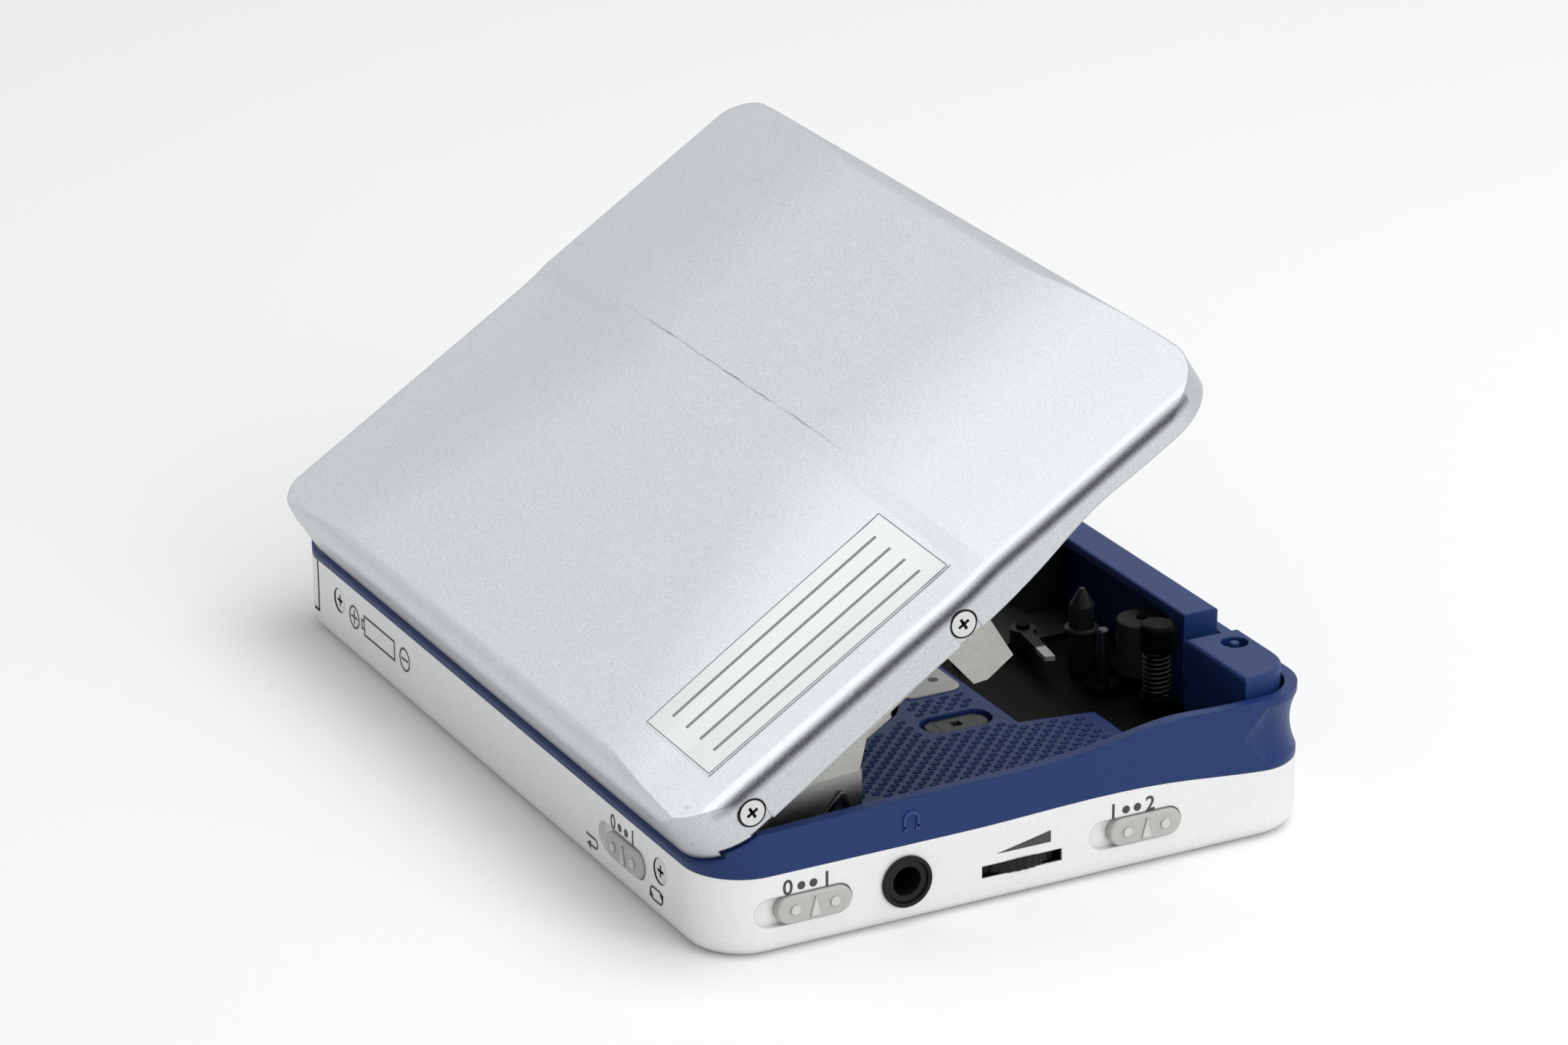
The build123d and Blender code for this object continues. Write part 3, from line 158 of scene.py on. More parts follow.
def makeGrain(given):
    group, takes, gives = newGroup("fineGrain", [("Place", "Vector", None), ("Size", "Float", 0.2),
                                                 ("Contrast", "Float", 1.0)], [("Amount", "Float")])
    noise = addNode(group, "ShaderNodeTexNoise", None,
                    {"Vector": takes["Place"], "Scale": scaleFor(group, takes["Size"]),
                     "Detail": given["grainDetail"]})
    centred = maths(group, "SUBTRACT", noise.outputs["Fac"], 0.5)
    strong = maths(group, "MULTIPLY_ADD", centred, takes["Contrast"], 0.5)
    group.links.new(addNode(group, "ShaderNodeClamp", None, {"Value": strong}).outputs[0], gives["Amount"])
    return group


def makeEdgeWear(given):
    group, takes, gives = newGroup("edgeWear", [("Place", "Vector", None), ("Width", "Float", 0.4),
                                                ("Patches", "Float", 3.0), ("Strength", "Float", 1.0)],
                                   [("Mask", "Float"), ("Soft Normal", "Vector")])
    rounded = addNode(group, "ShaderNodeBevel", {"samples": given["bevelSamples"]},
                      {"Radius": maths(group, "MULTIPLY", takes["Width"], mm)}).outputs["Normal"]
    flat = addNode(group, "ShaderNodeNewGeometry").outputs["Normal"]
    bent = maths(group, "SUBTRACT", 1.0, dotProduct(group, rounded, flat))
    patches = addNode(group, "ShaderNodeTexNoise", None,
                      {"Vector": takes["Place"], "Scale": scaleFor(group, takes["Patches"]),
                       "Detail": given["patchDetail"]})
    broken = remap(group, patches.outputs["Fac"], given["patchFrom"], given["patchTo"])
    worn = product(group, bent, given["edgeSharpness"], broken, takes["Strength"])
    group.links.new(addNode(group, "ShaderNodeClamp", None, {"Value": worn}).outputs[0], gives["Mask"])
    group.links.new(rounded, gives["Soft Normal"])
    return group


def makeBrushLines(given):
    group, takes, gives = newGroup("brushLines", [("Place", "Vector", None),
                                                  ("Along", "Vector", (40, 4000, 4000))],
                                   [("Amount", "Float")])
    stretched = addNode(group, "ShaderNodeVectorMath", {"operation": "MULTIPLY"},
                        {0: takes["Place"], 1: takes["Along"]})
    noise = addNode(group, "ShaderNodeTexNoise", None,
                    {"Vector": stretched.outputs[0], "Scale": 1.0, "Detail": given["brushDetail"],
                     "Roughness": given["brushRoughness"]})
    group.links.new(noise.outputs["Fac"], gives["Amount"])
    return group


def makeSpecks(given):
    group, takes, gives = newGroup("specks", [("Place", "Vector", None), ("Spacing", "Float", 4.0),
                                              ("Radius", "Float", 0.1)], [("Mask", "Float")])
    cells = addNode(group, "ShaderNodeTexVoronoi", None,
                    {"Vector": takes["Place"], "Scale": scaleFor(group, takes["Spacing"])})
    share = maths(group, "DIVIDE", takes["Radius"], takes["Spacing"])
    mask = remap(group, cells.outputs["Distance"], share, maths(group, "MULTIPLY", share, given["speckCore"]))
    group.links.new(mask, gives["Mask"])
    return group


fineGrain, edgeWear = makeGrain(effects), makeEdgeWear(effects)
brushLines, specks = makeBrushLines(effects), makeSpecks(effects)


def grainAt(tree, place, size, contrast):
    return useGroup(tree, fineGrain, {"Place": place, "Size": size, "Contrast": contrast})["Amount"]


def specksAt(tree, place, spacing, radius):
    return useGroup(tree, specks, {"Place": place, "Spacing": spacing, "Radius": radius})["Mask"]


# What a finish has where it says nothing else
plainLook = {"metallic": 0.0, "specular": 0.5, "bump": 0.01, "bumpStrength": 0.6, "roughDrop": 0.04,
             "grainSize": 0.25, "grainContrast": 2.0, "grainTone": 0.08, "grainRough": 0.08,
             "cloudSize": 14.0, "cloudContrast": 1.5, "cloudTone": 0.08, "cloudShade": 0.5,
             "brushTone": 0.35, "brushShade": 0.55, "brushRough": 0.2, "wearWidth": 0.35, "wearPatches": 2.5,
             "dustSpacing": 5.0, "dustRadius": 0.12, "dustColour": (0.5, 0.5, 0.48)}


def shade(colour, share):
    return tuple(min(1.0, part * share) for part in colour)


# One finish: base colour with a fine grain, slow tone changes, worn edges, specks of dust and brush lines
def makeFinish(name, values):
    look = {**plainLook, **values}
    material = bpy.data.materials.new(name)
    material.use_nodes = True
    tree = material.node_tree
    shader = tree.nodes["Principled BSDF"]
    place = addNode(tree, "ShaderNodeTexCoord").outputs["Object"]
    colour = look["colour"]
    grain = grainAt(tree, place, look["grainSize"], look["grainContrast"])
    cloud = grainAt(tree, place, look["cloudSize"], look["cloudContrast"])
    toned = blendColour(tree, grain, shade(colour, 1 - look["grainTone"]),
                        shade(colour, 1 + look["grainTone"]))
    toned = blendColour(tree, maths(tree, "MULTIPLY", cloud, look["cloudTone"]), toned,
                        shade(colour, look["cloudShade"]))
    roughness = maths(tree, "MULTIPLY_ADD", grain, look["grainRough"], look["roughness"] - look["roughDrop"])
    height = grain
    if "brush" in look:
        lines = useGroup(tree, brushLines, {"Place": place, "Along": look["brush"]})["Amount"]
        toned = blendColour(tree, maths(tree, "MULTIPLY", lines, look["brushTone"]), toned,
                            shade(colour, look["brushShade"]))
        roughness = maths(tree, "MULTIPLY_ADD", lines, look["brushRough"], roughness)
        height = lines
    softNormal = None
    if "wear" in look:
        edges = useGroup(tree, edgeWear, {"Place": place, "Width": look["wearWidth"],
                                          "Patches": look["wearPatches"], "Strength": look["wear"]})
        toned = blendColour(tree, edges["Mask"], toned, look["wearColour"])
        softNormal = edges["Soft Normal"]
    if "dust" in look:
        dust = specksAt(tree, place, look["dustSpacing"], look["dustRadius"])
        toned = blendColour(tree, maths(tree, "MULTIPLY", dust, look["dust"]), toned, look["dustColour"])
    if "extra" in look:
        toned = look["extra"](tree, place, toned)
    bump = addNode(tree, "ShaderNodeBump", None, {"Height": height, "Distance": look["bump"] * mm,
                                                  "Strength": look["bumpStrength"]})
    if softNormal:
        tree.links.new(softNormal, bump.inputs["Normal"])
    tree.links.new(toned, shader.inputs["Base Color"])
    tree.links.new(roughness, shader.inputs["Roughness"])
    tree.links.new(bump.outputs["Normal"], shader.inputs["Normal"])
    shader.inputs["Metallic"].default_value = look["metallic"]
    shader.inputs["Specular IOR Level"].default_value = look["specular"]
    material.diffuse_color = (*colour, 1.0)
    return material


# The cover stands open: its marks are laid out on the closed cover and turned with it
hinge = {"y": -33.8, "z": 14.4, "open": 32.5}
openCover = (Matrix.Translation((0, hinge["y"] * mm, hinge["z"] * mm))
             @ Matrix.Rotation(math.radians(hinge["open"]), 4, "X")
             @ Matrix.Translation((0, -hinge["y"] * mm, -hinge["z"] * mm)))

# The spans of the corner scuffs are from, to and fade
coverMarks = {"lineCore": 0.15, "creaseY": 6.3, "footY": 1.5, "creaseHalf": 0.16, "creaseFrom": -33.0,
              "creaseTo": 27.0, "creaseFade": 12.0, "creaseDepth": 0.75, "creaseColour": (0.10, 0.10, 0.11),
              "wanderSize": 5.0, "wander": 0.5, "breakSize": 7.0, "breakContrast": 3.0,
              "edgeInside": 57.0, "edgeLevel": 20.1, "edgeStep": 0.35, "edgeHalf": 0.95, "edgeFrom": -37.0,
              "edgeTo": 38.5, "edgeFade": 4.0, "edgeReflectionDepth": 0.92, "edgeReflectionColour": (0.11, 0.11, 0.12),
              "speckleSize": 0.25, "speckleContrast": 1.6, "speckleShare": 0.35,
              "scuffSide": (44.0, 58.2, 5.0), "scuffAlong": (-40.5, -33.0, 3.0), "scuffSize": 3.0,
              "scuffRadius": 0.5, "scuffDepth": 0.5, "scuffColour": (0.25, 0.25, 0.25)}


def away(tree, value, middle):
    # distance of a coordinate from a middle in mm
    return maths(tree, "ABSOLUTE", maths(tree, "SUBTRACT", value, middle * mm))


def near(tree, value, middle, half, core):
    # one at the middle, falling to nought at the half width; the core is the share that stays full
    return remap(tree, away(tree, value, middle), half * mm, half * core * mm)


def span(tree, value, low, high, soft):
    rise = remap(tree, value, low * mm, (low + soft) * mm)
    fall = remap(tree, value, high * mm, (high - soft) * mm)
    return maths(tree, "MULTIPLY", rise, fall)


# the crease's dark line and the scuffs by the hinge, with a painted reflection: a dark band on the fillets of
# the short sides
def wearAndDarkReflectionOnCover(tree, place, toned):
    size, closed = coverMarks, openCover.inverted()
    spot = addNode(tree, "ShaderNodeMapping", None, {"Vector": place, "Location": closed.translation,
                                                     "Rotation": closed.to_euler()}).outputs[0]
    x, y, z = splitVector(tree, spot)
    # the crease's dark line wanders a little and breaks up
    wander = maths(tree, "SUBTRACT", grainAt(tree, spot, size["wanderSize"], 1.0), 0.5)
    shifted = maths(tree, "MULTIPLY_ADD", wander, size["wander"] * mm, y)
    line = product(tree, near(tree, shifted, size["creaseY"], size["creaseHalf"], size["lineCore"]),
                   span(tree, x, size["creaseFrom"], size["creaseTo"], size["creaseFade"]),
                   grainAt(tree, spot, size["breakSize"], size["breakContrast"]), size["creaseDepth"])
    toned = blendColour(tree, line, toned, size["creaseColour"])
    # painted reflection: the dark band along both short sides stands in for the dark room mirrored in the
    # fillet, and steps up at the crease
    side = maths(tree, "ABSOLUTE", x)
    raised = remap(tree, y, size["footY"] * mm, size["creaseY"] * mm, 0.0, size["edgeStep"] * mm)
    level = maths(tree, "SUBTRACT", z, raised)
    speckle = maths(tree, "MULTIPLY_ADD", grainAt(tree, spot, size["speckleSize"], size["speckleContrast"]),
                    size["speckleShare"], 1.0 - size["speckleShare"])
    edge = product(tree, near(tree, level, size["edgeLevel"], size["edgeHalf"], size["lineCore"]),
                   span(tree, y, size["edgeFrom"], size["edgeTo"], size["edgeFade"]),
                   maths(tree, "GREATER_THAN", side, size["edgeInside"] * mm), speckle, size["edgeReflectionDepth"])
    toned = blendColour(tree, edge, toned, size["edgeReflectionColour"])
    # scuffs on the corners by the hinge
    scuffs = product(tree, span(tree, side, *size["scuffSide"]), span(tree, y, *size["scuffAlong"]),
                     specksAt(tree, spot, size["scuffSize"], size["scuffRadius"]), size["scuffDepth"])
    return blendColour(tree, scuffs, toned, size["scuffColour"])


# Levels past which the raised marks on the slide knobs get painted shade at their feet and a painted
# highlight on their tops
knobTipLightAndShade = {"face": 58.712, "top": 58.8, "hingeFace": -39.962, "hingeTop": -40.05, "share": 0.85,
            "pale": (0.60, 0.595, 0.58), "dark": (0.16, 0.158, 0.15)}


def paintKnobHighlightAndShade(tree, place, toned):
    # painted highlight on the tops and painted shade at the feet of the raised dots and wedges of the slide
    # knobs
    spots, size = splitVector(tree, place), knobTipLightAndShade
    for control, hinged, tone in (("face", "hingeFace", "dark"), ("top", "hingeTop", "pale")):
        above = maths(tree, "MAXIMUM", maths(tree, "GREATER_THAN", spots["X"], size[control] * mm),
                      maths(tree, "LESS_THAN", spots["Y"], size[hinged] * mm))
        toned = blendColour(tree, maths(tree, "MULTIPLY", above, size["share"]), toned, size[tone])
    return toned


# The volume wheel's slot in the control side
wheelSlot = {"outside": 58.0, "inside": 50.0, "middle": -0.12, "half": 5.4, "level": 4.33, "halfHigh": 0.95,
             "slotShade": (0.01, 0.01, 0.01)}


def paintSlotShade(tree, place, toned):
    # painted shade: the cut walls of the wheel's slot are darkened to near black, where shade falls in the
    # slot
    spots, size = splitVector(tree, place), wheelSlot
    mask = product(tree, maths(tree, "LESS_THAN", spots["X"], size["outside"] * mm),
                   maths(tree, "GREATER_THAN", spots["X"], size["inside"] * mm),
                   maths(tree, "LESS_THAN", away(tree, spots["Y"], size["middle"]), size["half"] * mm),
                   maths(tree, "LESS_THAN", away(tree, spots["Z"], size["level"]), size["halfHigh"] * mm))
    return blendColour(tree, mask, toned, size["slotShade"])


# The pale end of the tape lever, from this place along it
leverTip = {"from": 20.4, "soft": 0.5, "pale": (0.52, 0.51, 0.49)}


def paleLeverTip(tree, place, toned):
    size = leverTip
    tip = remap(tree, splitVector(tree, place)["X"], size["from"] * mm, (size["from"] + size["soft"]) * mm)
    return blendColour(tree, tip, toned, size["pale"])


finishes = {
    "silverShell": {"colour": (0.605, 0.622, 0.64), "metallic": 0.92, "roughness": 0.33, "grainSize": 0.2,
                    "grainContrast": 5.0, "grainTone": 0.085, "grainRough": 0.10, "bump": 0.005,
                    "cloudTone": 0.03, "dust": 0.4, "dustSpacing": 11.0, "dustRadius": 0.09,
                    "dustColour": (0.2, 0.2, 0.2), "wear": 0.25, "wearColour": (0.76, 0.77, 0.78),
                    "extra": wearAndDarkReflectionOnCover},
    "whiteShell": {"colour": (0.76, 0.765, 0.765), "metallic": 0.35, "roughness": 0.36, "grainSize": 0.18,
                   "grainContrast": 4.0, "grainTone": 0.04, "bump": 0.004, "cloudTone": 0.02,
                   "dust": 0.5, "dustSpacing": 12.0, "dustRadius": 0.12, "dustColour": (0.25, 0.24, 0.22),
                   "wear": 0.25, "wearColour": (0.55, 0.55, 0.54), "extra": paintSlotShade},
    "bluePlastic": {"colour": (0.010, 0.030, 0.122), "roughness": 0.40, "grainSize": 0.3, "grainTone": 0.10,
                    "bump": 0.012, "cloudTone": 0.08, "dust": 0.25, "dustSpacing": 6.0, "dustRadius": 0.08,
                    "wear": 0.35, "wearColour": (0.05, 0.08, 0.22), "wearWidth": 0.4, "specular": 0.24},
    # painted highlight: a lighter copy of the blue plastic for the raised headphones
    "litBlueRaised": {"colour": (0.020, 0.048, 0.175), "roughness": 0.38, "grainSize": 0.3, "bump": 0.01,
                   "specular": 0.3},
    "blackPlastic": {"colour": (0.008, 0.008, 0.009), "roughness": 0.38, "grainTone": 0.2, "bump": 0.01,
                     "dust": 0.3, "dustSpacing": 4.0, "dustRadius": 0.07, "wear": 0.3,
                     "wearColour": (0.03, 0.03, 0.032), "specular": 0.2},
    # painted shade: the next four finishes are darkened copies of black plastic, grey plastic and steel for
    # the parts deep in the bay
    "shadedBayBlack": {"colour": (0.0018, 0.0018, 0.002), "roughness": 0.5, "grainTone": 0.3, "bump": 0.02,
                 "grainSize": 0.4, "dust": 0.25, "dustSpacing": 3.0, "dustRadius": 0.07,
                 "dustColour": (0.04, 0.04, 0.04), "wear": 0.4, "wearColour": (0.012, 0.012, 0.013),
                 "specular": 0.06},
    "shadedBayGrey": {"colour": (0.022, 0.023, 0.023), "roughness": 0.35, "grainTone": 0.15, "bump": 0.01,
                "wear": 0.4, "wearColour": (0.09, 0.09, 0.085), "dust": 0.3, "specular": 0.3},
    "shadedBaySteel": {"colour": (0.05, 0.05, 0.052), "metallic": 0.8, "roughness": 0.4, "bump": 0.006,
                 "brush": (300, 2500, 2500), "wear": 0.4, "wearColour": (0.2, 0.2, 0.2)},
    "shadedLeverSteel": {"colour": (0.03, 0.03, 0.032), "metallic": 0.7, "roughness": 0.42, "bump": 0.006,
                   "brush": (300, 2500, 2500), "extra": paleLeverTip},
    "greyPlastic": {"colour": (0.42, 0.415, 0.40), "roughness": 0.4, "grainTone": 0.05, "bump": 0.008,
                    "wear": 0.4, "wearColour": (0.66, 0.65, 0.62), "dust": 0.3,
                    "dustColour": (0.2, 0.19, 0.18), "extra": paintKnobHighlightAndShade},
    "labelFilm": {"colour": (0.64, 0.655, 0.65), "metallic": 0.75, "roughness": 0.30, "grainSize": 0.35,
                  "grainContrast": 2.0, "grainTone": 0.025, "grainRough": 0.04, "bump": 0.002,
                  "cloudTone": 0.04, "dust": 0.3, "dustSpacing": 6.0, "dustRadius": 0.07,
                  "dustColour": (0.5, 0.51, 0.5)},
    "brushedSteel": {"colour": (0.52, 0.51, 0.485), "metallic": 1.0, "roughness": 0.32, "bump": 0.01,
                     "brush": (60, 900, 5000), "brushTone": 0.6, "cloudTone": 0.25, "cloudSize": 6.0},
    "darkSteel": {"colour": (0.10, 0.10, 0.105), "metallic": 1.0, "roughness": 0.28, "bump": 0.006,
                  "brush": (400, 3000, 3000), "wear": 0.6, "wearColour": (0.3, 0.3, 0.3)},
    "brightSteel": {"colour": (0.72, 0.72, 0.71), "metallic": 1.0, "roughness": 0.2, "bump": 0.006,
                    "grainTone": 0.1, "cloudTone": 0.2, "cloudSize": 1.5},
    "turnedBrass": {"colour": (0.62, 0.46, 0.2), "metallic": 1.0, "roughness": 0.28, "bump": 0.006,
                    "brush": (300, 300, 6000), "cloudTone": 0.2},
    "blackRubber": {"colour": (0.02, 0.02, 0.02), "roughness": 0.75, "bump": 0.02, "grainSize": 0.1,
                    "grainTone": 0.2, "specular": 0.3, "dust": 0.3},
    "greenBoard": {"colour": (0.03, 0.13, 0.06), "roughness": 0.4, "bump": 0.01, "grainTone": 0.15,
                   "dust": 0.3},
    "whitePlastic": {"colour": (0.68, 0.67, 0.63), "roughness": 0.45, "bump": 0.01, "grainTone": 0.05,
                     "cloudTone": 0.08, "dust": 0.3, "dustColour": (0.3, 0.29, 0.27)},
    "printedInk": {"colour": (0.045, 0.045, 0.048), "roughness": 0.5, "bump": 0.01, "grainSize": 0.12,
                   "grainContrast": 3.0, "grainTone": 0.3},
    "paleInk": {"colour": (0.22, 0.23, 0.23), "roughness": 0.5, "bump": 0.004, "grainSize": 0.12,
                "grainContrast": 3.0, "grainTone": 0.2},
    "shadowGap": {"colour": (0.012, 0.012, 0.013), "roughness": 0.8, "bump": 0.01, "specular": 0.1},
}
finish = {name: makeFinish(name, look) for name, look in finishes.items()}

slotFinish = {"silver_shell": "silverShell", "white_shell": "whiteShell", "blue_plastic": "bluePlastic",
              "black_plastic": "blackPlastic", "grey_plastic": "greyPlastic", "label": "labelFilm",
              "steel": "brushedSteel", "dark_steel": "darkSteel", "bright_steel": "brightSteel",
              "brass": "turnedBrass", "rubber": "blackRubber", "board": "greenBoard",
              "white_plastic": "whitePlastic"}
# Painted shade: parts deep in the bay get near black copies of their finishes, whatever they are made of, as
# the bay lies in shadow
bayShadeFinish = {"chassis": "shadedBayBlack", "left_pinch_arm": "shadedBayBlack", "right_pinch_arm": "shadedBayBlack",
             "lift_post": "shadedBayBlack", "capstan_bushes": "shadedBayBlack", "tape_head": "shadedBaySteel",
             "head_carriage": "shadedBaySteel", "idler_arm": "shadedBaySteel", "left_capstan": "darkSteel",
             "right_capstan": "darkSteel", "sensor_lever": "shadedBayGrey", "tape_lever": "shadedLeverSteel"}
for part in frame["record"]["subparts"]:
    solid = nodes[part["node"]]
    solid.data.materials.clear()
    solid.data.materials.append(finish[bayShadeFinish.get(part["node"], slotFinish[part["material_slot"]])])
print("finishes on every node:", len(finish))

# Flat marks: closed outlines in mm on a face of the case, raised by a hair
faces = {
    "hinge": (Vector((0, -39.5, 0)), Vector((1, 0, 0)), Vector((0, 0, 1))),
    "control": (Vector((58.25, 0, 0)), Vector((0, 1, 0)), Vector((0, 0, 1))),
    "catch": (Vector((0, 40.0, 0)), Vector((-1, 0, 0)), Vector((0, 0, 1))),
    "top": (Vector((0, 0, 0)), Vector((1, 0, 0)), Vector((0, 1, 0))),
}


def circle(x, y, radius, steps=32, start=0.0, sweep=360.0):
    count = steps if sweep == 360.0 else steps + 1
    return [(x + radius * math.cos(math.radians(start + sweep * k / steps)),
             y + radius * math.sin(math.radians(start + sweep * k / steps))) for k in range(count)]


def bar(x, y, width, height):
    return [(x - width / 2, y - height / 2), (x + width / 2, y - height / 2),
            (x + width / 2, y + height / 2), (x - width / 2, y + height / 2)]


def ring(x, y, radius, width):
    return [circle(x, y, radius), circle(x, y, radius - width)]


def stroke(points, width):
    # a line of even width with mitred corners, as one closed outline
    left, right = [], []
    for index, (x, y) in enumerate(points):
        before = points[max(index - 1, 0)]
        after = points[min(index + 1, len(points) - 1)]
        way = Vector((after[0] - before[0], after[1] - before[1])).normalized()
        across = Vector((-way.y, way.x)) * width / 2
        left.append((x + across.x, y + across.y))
        right.append((x - across.x, y - across.y))
    return left + right[::-1]


def takeMesh(holder):
    # the plain mesh that a helper object gives; the helper and its curve are removed
    mesh = bpy.data.meshes.new_from_object(holder.evaluated_get(bpy.context.evaluated_depsgraph_get()))
    source = holder.data
    bpy.data.objects.remove(holder)
    if isinstance(source, bpy.types.Curve):
        bpy.data.curves.remove(source)
    return mesh


def flatMesh(name, outlines, height):
    # closed outlines become one thin filled plate, holes where outlines nest
    curve = bpy.data.curves.new(name, "CURVE")
    curve.dimensions = "2D"
    curve.fill_mode = "BOTH"
    curve.extrude = height / 2
    for outline in outlines:
        spline = curve.splines.new("POLY")
        spline.points.add(len(outline) - 1)
        for point, (x, y) in zip(spline.points, outline):
            point.co = (x, y, 0, 1)
        spline.use_cyclic_u = True
    return takeMesh(addObject(name, curve))


def closedMesh(shape, name):
    bmesh.ops.recalc_face_normals(shape, faces=shape.faces)
    mesh = bpy.data.meshes.new(name)
    shape.to_mesh(mesh)
    shape.free()
    return mesh


def addPiece(name, mesh, look, body):
    mesh.name = name
    mesh.materials.clear()
    mesh.materials.append(finish[look])
    piece = addObject(name, mesh)
    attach(piece, body)
    return piece


def faceMatrix(face, lift=0.0):
    origin, right, up = faces[face]
    out = right.cross(up)
    turn = Matrix((right, up, out)).transposed().to_4x4()
    return Matrix.Scale(mm, 4) @ Matrix.Translation(origin + out * lift) @ turn


def addMark(name, face, outlines, body="base", look="printedInk", height=0.05,
            lift=0.0):
    mesh = flatMesh(name, outlines, height)
    mesh.transform(faceMatrix(face, lift))
    addPiece(name, mesh, look, body)


def setOut(points, x, y, sense=1):
    # points given from a place, turned half round where the sense is -1
    return [(x + sense * along, y + sense * up) for along, up in points]


# A battery's outline with its knob, and a plus and a minus in rings at its ends
batteryMark = {"level": 6.3, "plus": -39.6, "minus": -24.4, "radius": 1.56, "stroke": 0.3, "signReach": 0.95,
               "left": -36.7, "right": -27.3, "low": 4.9, "high": 7.7,
               "knob": [(0, -0.7), (-0.75, -0.7), (-0.75, 0.7), (0, 0.7), (0, 0.4), (-0.45, 0.4),
                        (-0.45, -0.4), (0, -0.4)]}


def markBattery(size):
    level, thick, reach = size["level"], size["stroke"], size["signReach"]
    half = thick / 2
    cross = [(-reach, -half), (-half, -half), (-half, -reach), (half, -reach), (half, -half),
             (reach, -half), (reach, half), (half, half), (half, reach), (-half, reach), (-half, half),
             (-reach, half)]
    for name, sign in (("plus", setOut(cross, size["plus"], level)),
                       ("minus", bar(size["minus"], level, 2 * reach, thick))):
        addMark(name + "_mark", "hinge", ring(size[name], level, size["radius"], thick) + [sign])
    middle, across = (size["left"] + size["right"]) / 2, size["right"] - size["left"]
    rise = size["high"] - size["low"]
    addMark("battery_mark", "hinge", [bar(middle, level, across, rise),
                                      bar(middle, level, across - 2 * thick, rise - 2 * thick)])
    addMark("battery_knob_mark", "hinge", [setOut(size["knob"], size["left"], level)])


markBattery(batteryMark)

# Two dots and two plain digits at each slide knob
switchMarks = {"dotRadius": 0.5, "dotLevel": 8.08, "dotSteps": 24, "digitGap": 1.7, "digitSize": 2.565,
               "digitThick": 0.025, "digitBold": 0.045,
               "dots": {"bass": ("control", (-28.39, -26.87), "01"), "tape": ("control", (13.5, 15.0), "12"),
                        "reverse": ("hinge", (35.13, 36.77), "01")}}


def markSwitches(size):
    level = size["dotLevel"]
    for name, (face, (low, high), digits) in size["dots"].items():
        dots = [circle(x, level, size["dotRadius"], size["dotSteps"]) for x in (low, high)]
        addMark(name + "_dots", face, dots)
        for digit, place in zip(digits, (low - size["digitGap"], high + size["digitGap"])):
            addDigit(name + "_digit_" + digit, face, digit, place, level, size)


def addDigit(name, face, digit, x, y, size):
    text = bpy.data.curves.new(name, "FONT")
    text.body = digit
    text.size = size["digitSize"]
    text.align_x, text.align_y = "CENTER", "CENTER"
    text.extrude = size["digitThick"]
    text.offset = size["digitBold"]
    mesh = takeMesh(addObject(name, text))
    mesh.transform(faceMatrix(face) @ Matrix.Translation((x, y, 0)))
    addPiece(name, mesh, "printedInk", "base")


markSwitches(switchMarks)

# A returning arrow and a loop of two arrows by the reverse knob, and the wedge over the volume wheel.
# The loop's arcs are shift, steps, start and sweep.
pictureMarks = {"stroke": 0.28, "arrowLeft": 26.3, "arrowRight": 28.7, "arrowHigh": 3.95, "arrowLow": 2.85,
                "bendSteps": 12, "headFrom": 0.1, "headTo": 1.2, "headHalf": 0.55,
                "loopX": 44.35, "loopLevel": 3.5, "loopRadius": 0.75,
                "loopArcs": [(-0.8, 10, 250, -160), (0.7, 6, 90, -50)],
                "loopHead": [(-0.5, -0.05), (0.5, 0.2), (0.25, -0.8)],
                "wedge": [(-3.5, 6.3), (3.6, 6.25), (3.6, 7.7)]}


def markPictures(size):
    left, low, high, thick = size["arrowLeft"], size["arrowLow"], size["arrowHigh"], size["stroke"]
    bend = circle(size["arrowRight"], (high + low) / 2, (high - low) / 2, size["bendSteps"], 90, -180)
    neck = left + size["headTo"]
    addMark("return_line_mark", "hinge", [stroke([(left, high)] + bend + [(neck, low)], thick)])
    addMark("return_head_mark", "hinge", [[(neck, low - size["headHalf"]), (neck, low + size["headHalf"]),
                                           (left + size["headFrom"], low)]])
    x, level = size["loopX"], size["loopLevel"]
    upper = [spot for shift, steps, start, sweep in size["loopArcs"]
             for spot in circle(x + shift, level, size["loopRadius"], steps, start, sweep)]
    lower = [(2 * x - px, 2 * level - py) for px, py in upper]
    for name, line, sense in (("upper", upper, 1), ("lower", lower, -1)):
        addMark("loop_" + name + "_mark", "hinge", [stroke(line, thick)])
        addMark("loop_" + name + "_head", "hinge", [setOut(size["loopHead"], *line[-1], sense)])
    addMark("volume_wedge", "control", [size["wedge"]])


markPictures(pictureMarks)

# Headphones raised in the blue rim over their socket, in a lighter copy of the blue plastic: a painted
# highlight on the raised symbol
headphoneMark = {"middle": -14.5, "low": 11.75, "high": 13.95, "halfWidth": 0.88, "stroke": 0.32,
                 "proud": 0.44, "bandSteps": 16, "footShare": 0.95, "footRise": 0.35,
                 "padInset": 0.12, "padRise": 0.3, "padWide": 0.42, "padHigh": 0.62}


def raiseHeadphones(size):
    x, low, half, inset = size["middle"], size["low"], size["halfWidth"], size["padInset"]
    foot, reach = low + size["footRise"], half * size["footShare"]
    arch = circle(x, size["high"] - half, half, size["bandSteps"], 180, -180)
    band = stroke([(x - reach, foot)] + arch + [(x + reach, foot)], size["stroke"])
    pad = low + size["padRise"], size["padWide"], size["padHigh"]
    for name, outline in (("band", band), ("left_pad", bar(x - half + inset, *pad)),
                          ("right_pad", bar(x + half - inset, *pad))):
        addMark("headphone_" + name, "control", [outline], look="litBlueRaised",
                height=size["proud"])


raiseHeadphones(headphoneMark)

# The dark gap round the battery door, as it shows on the hinge side
doorGap = {"edge": -50.85, "low": 3.25, "high": 9.88, "wide": 0.28, "tail": 1.3}


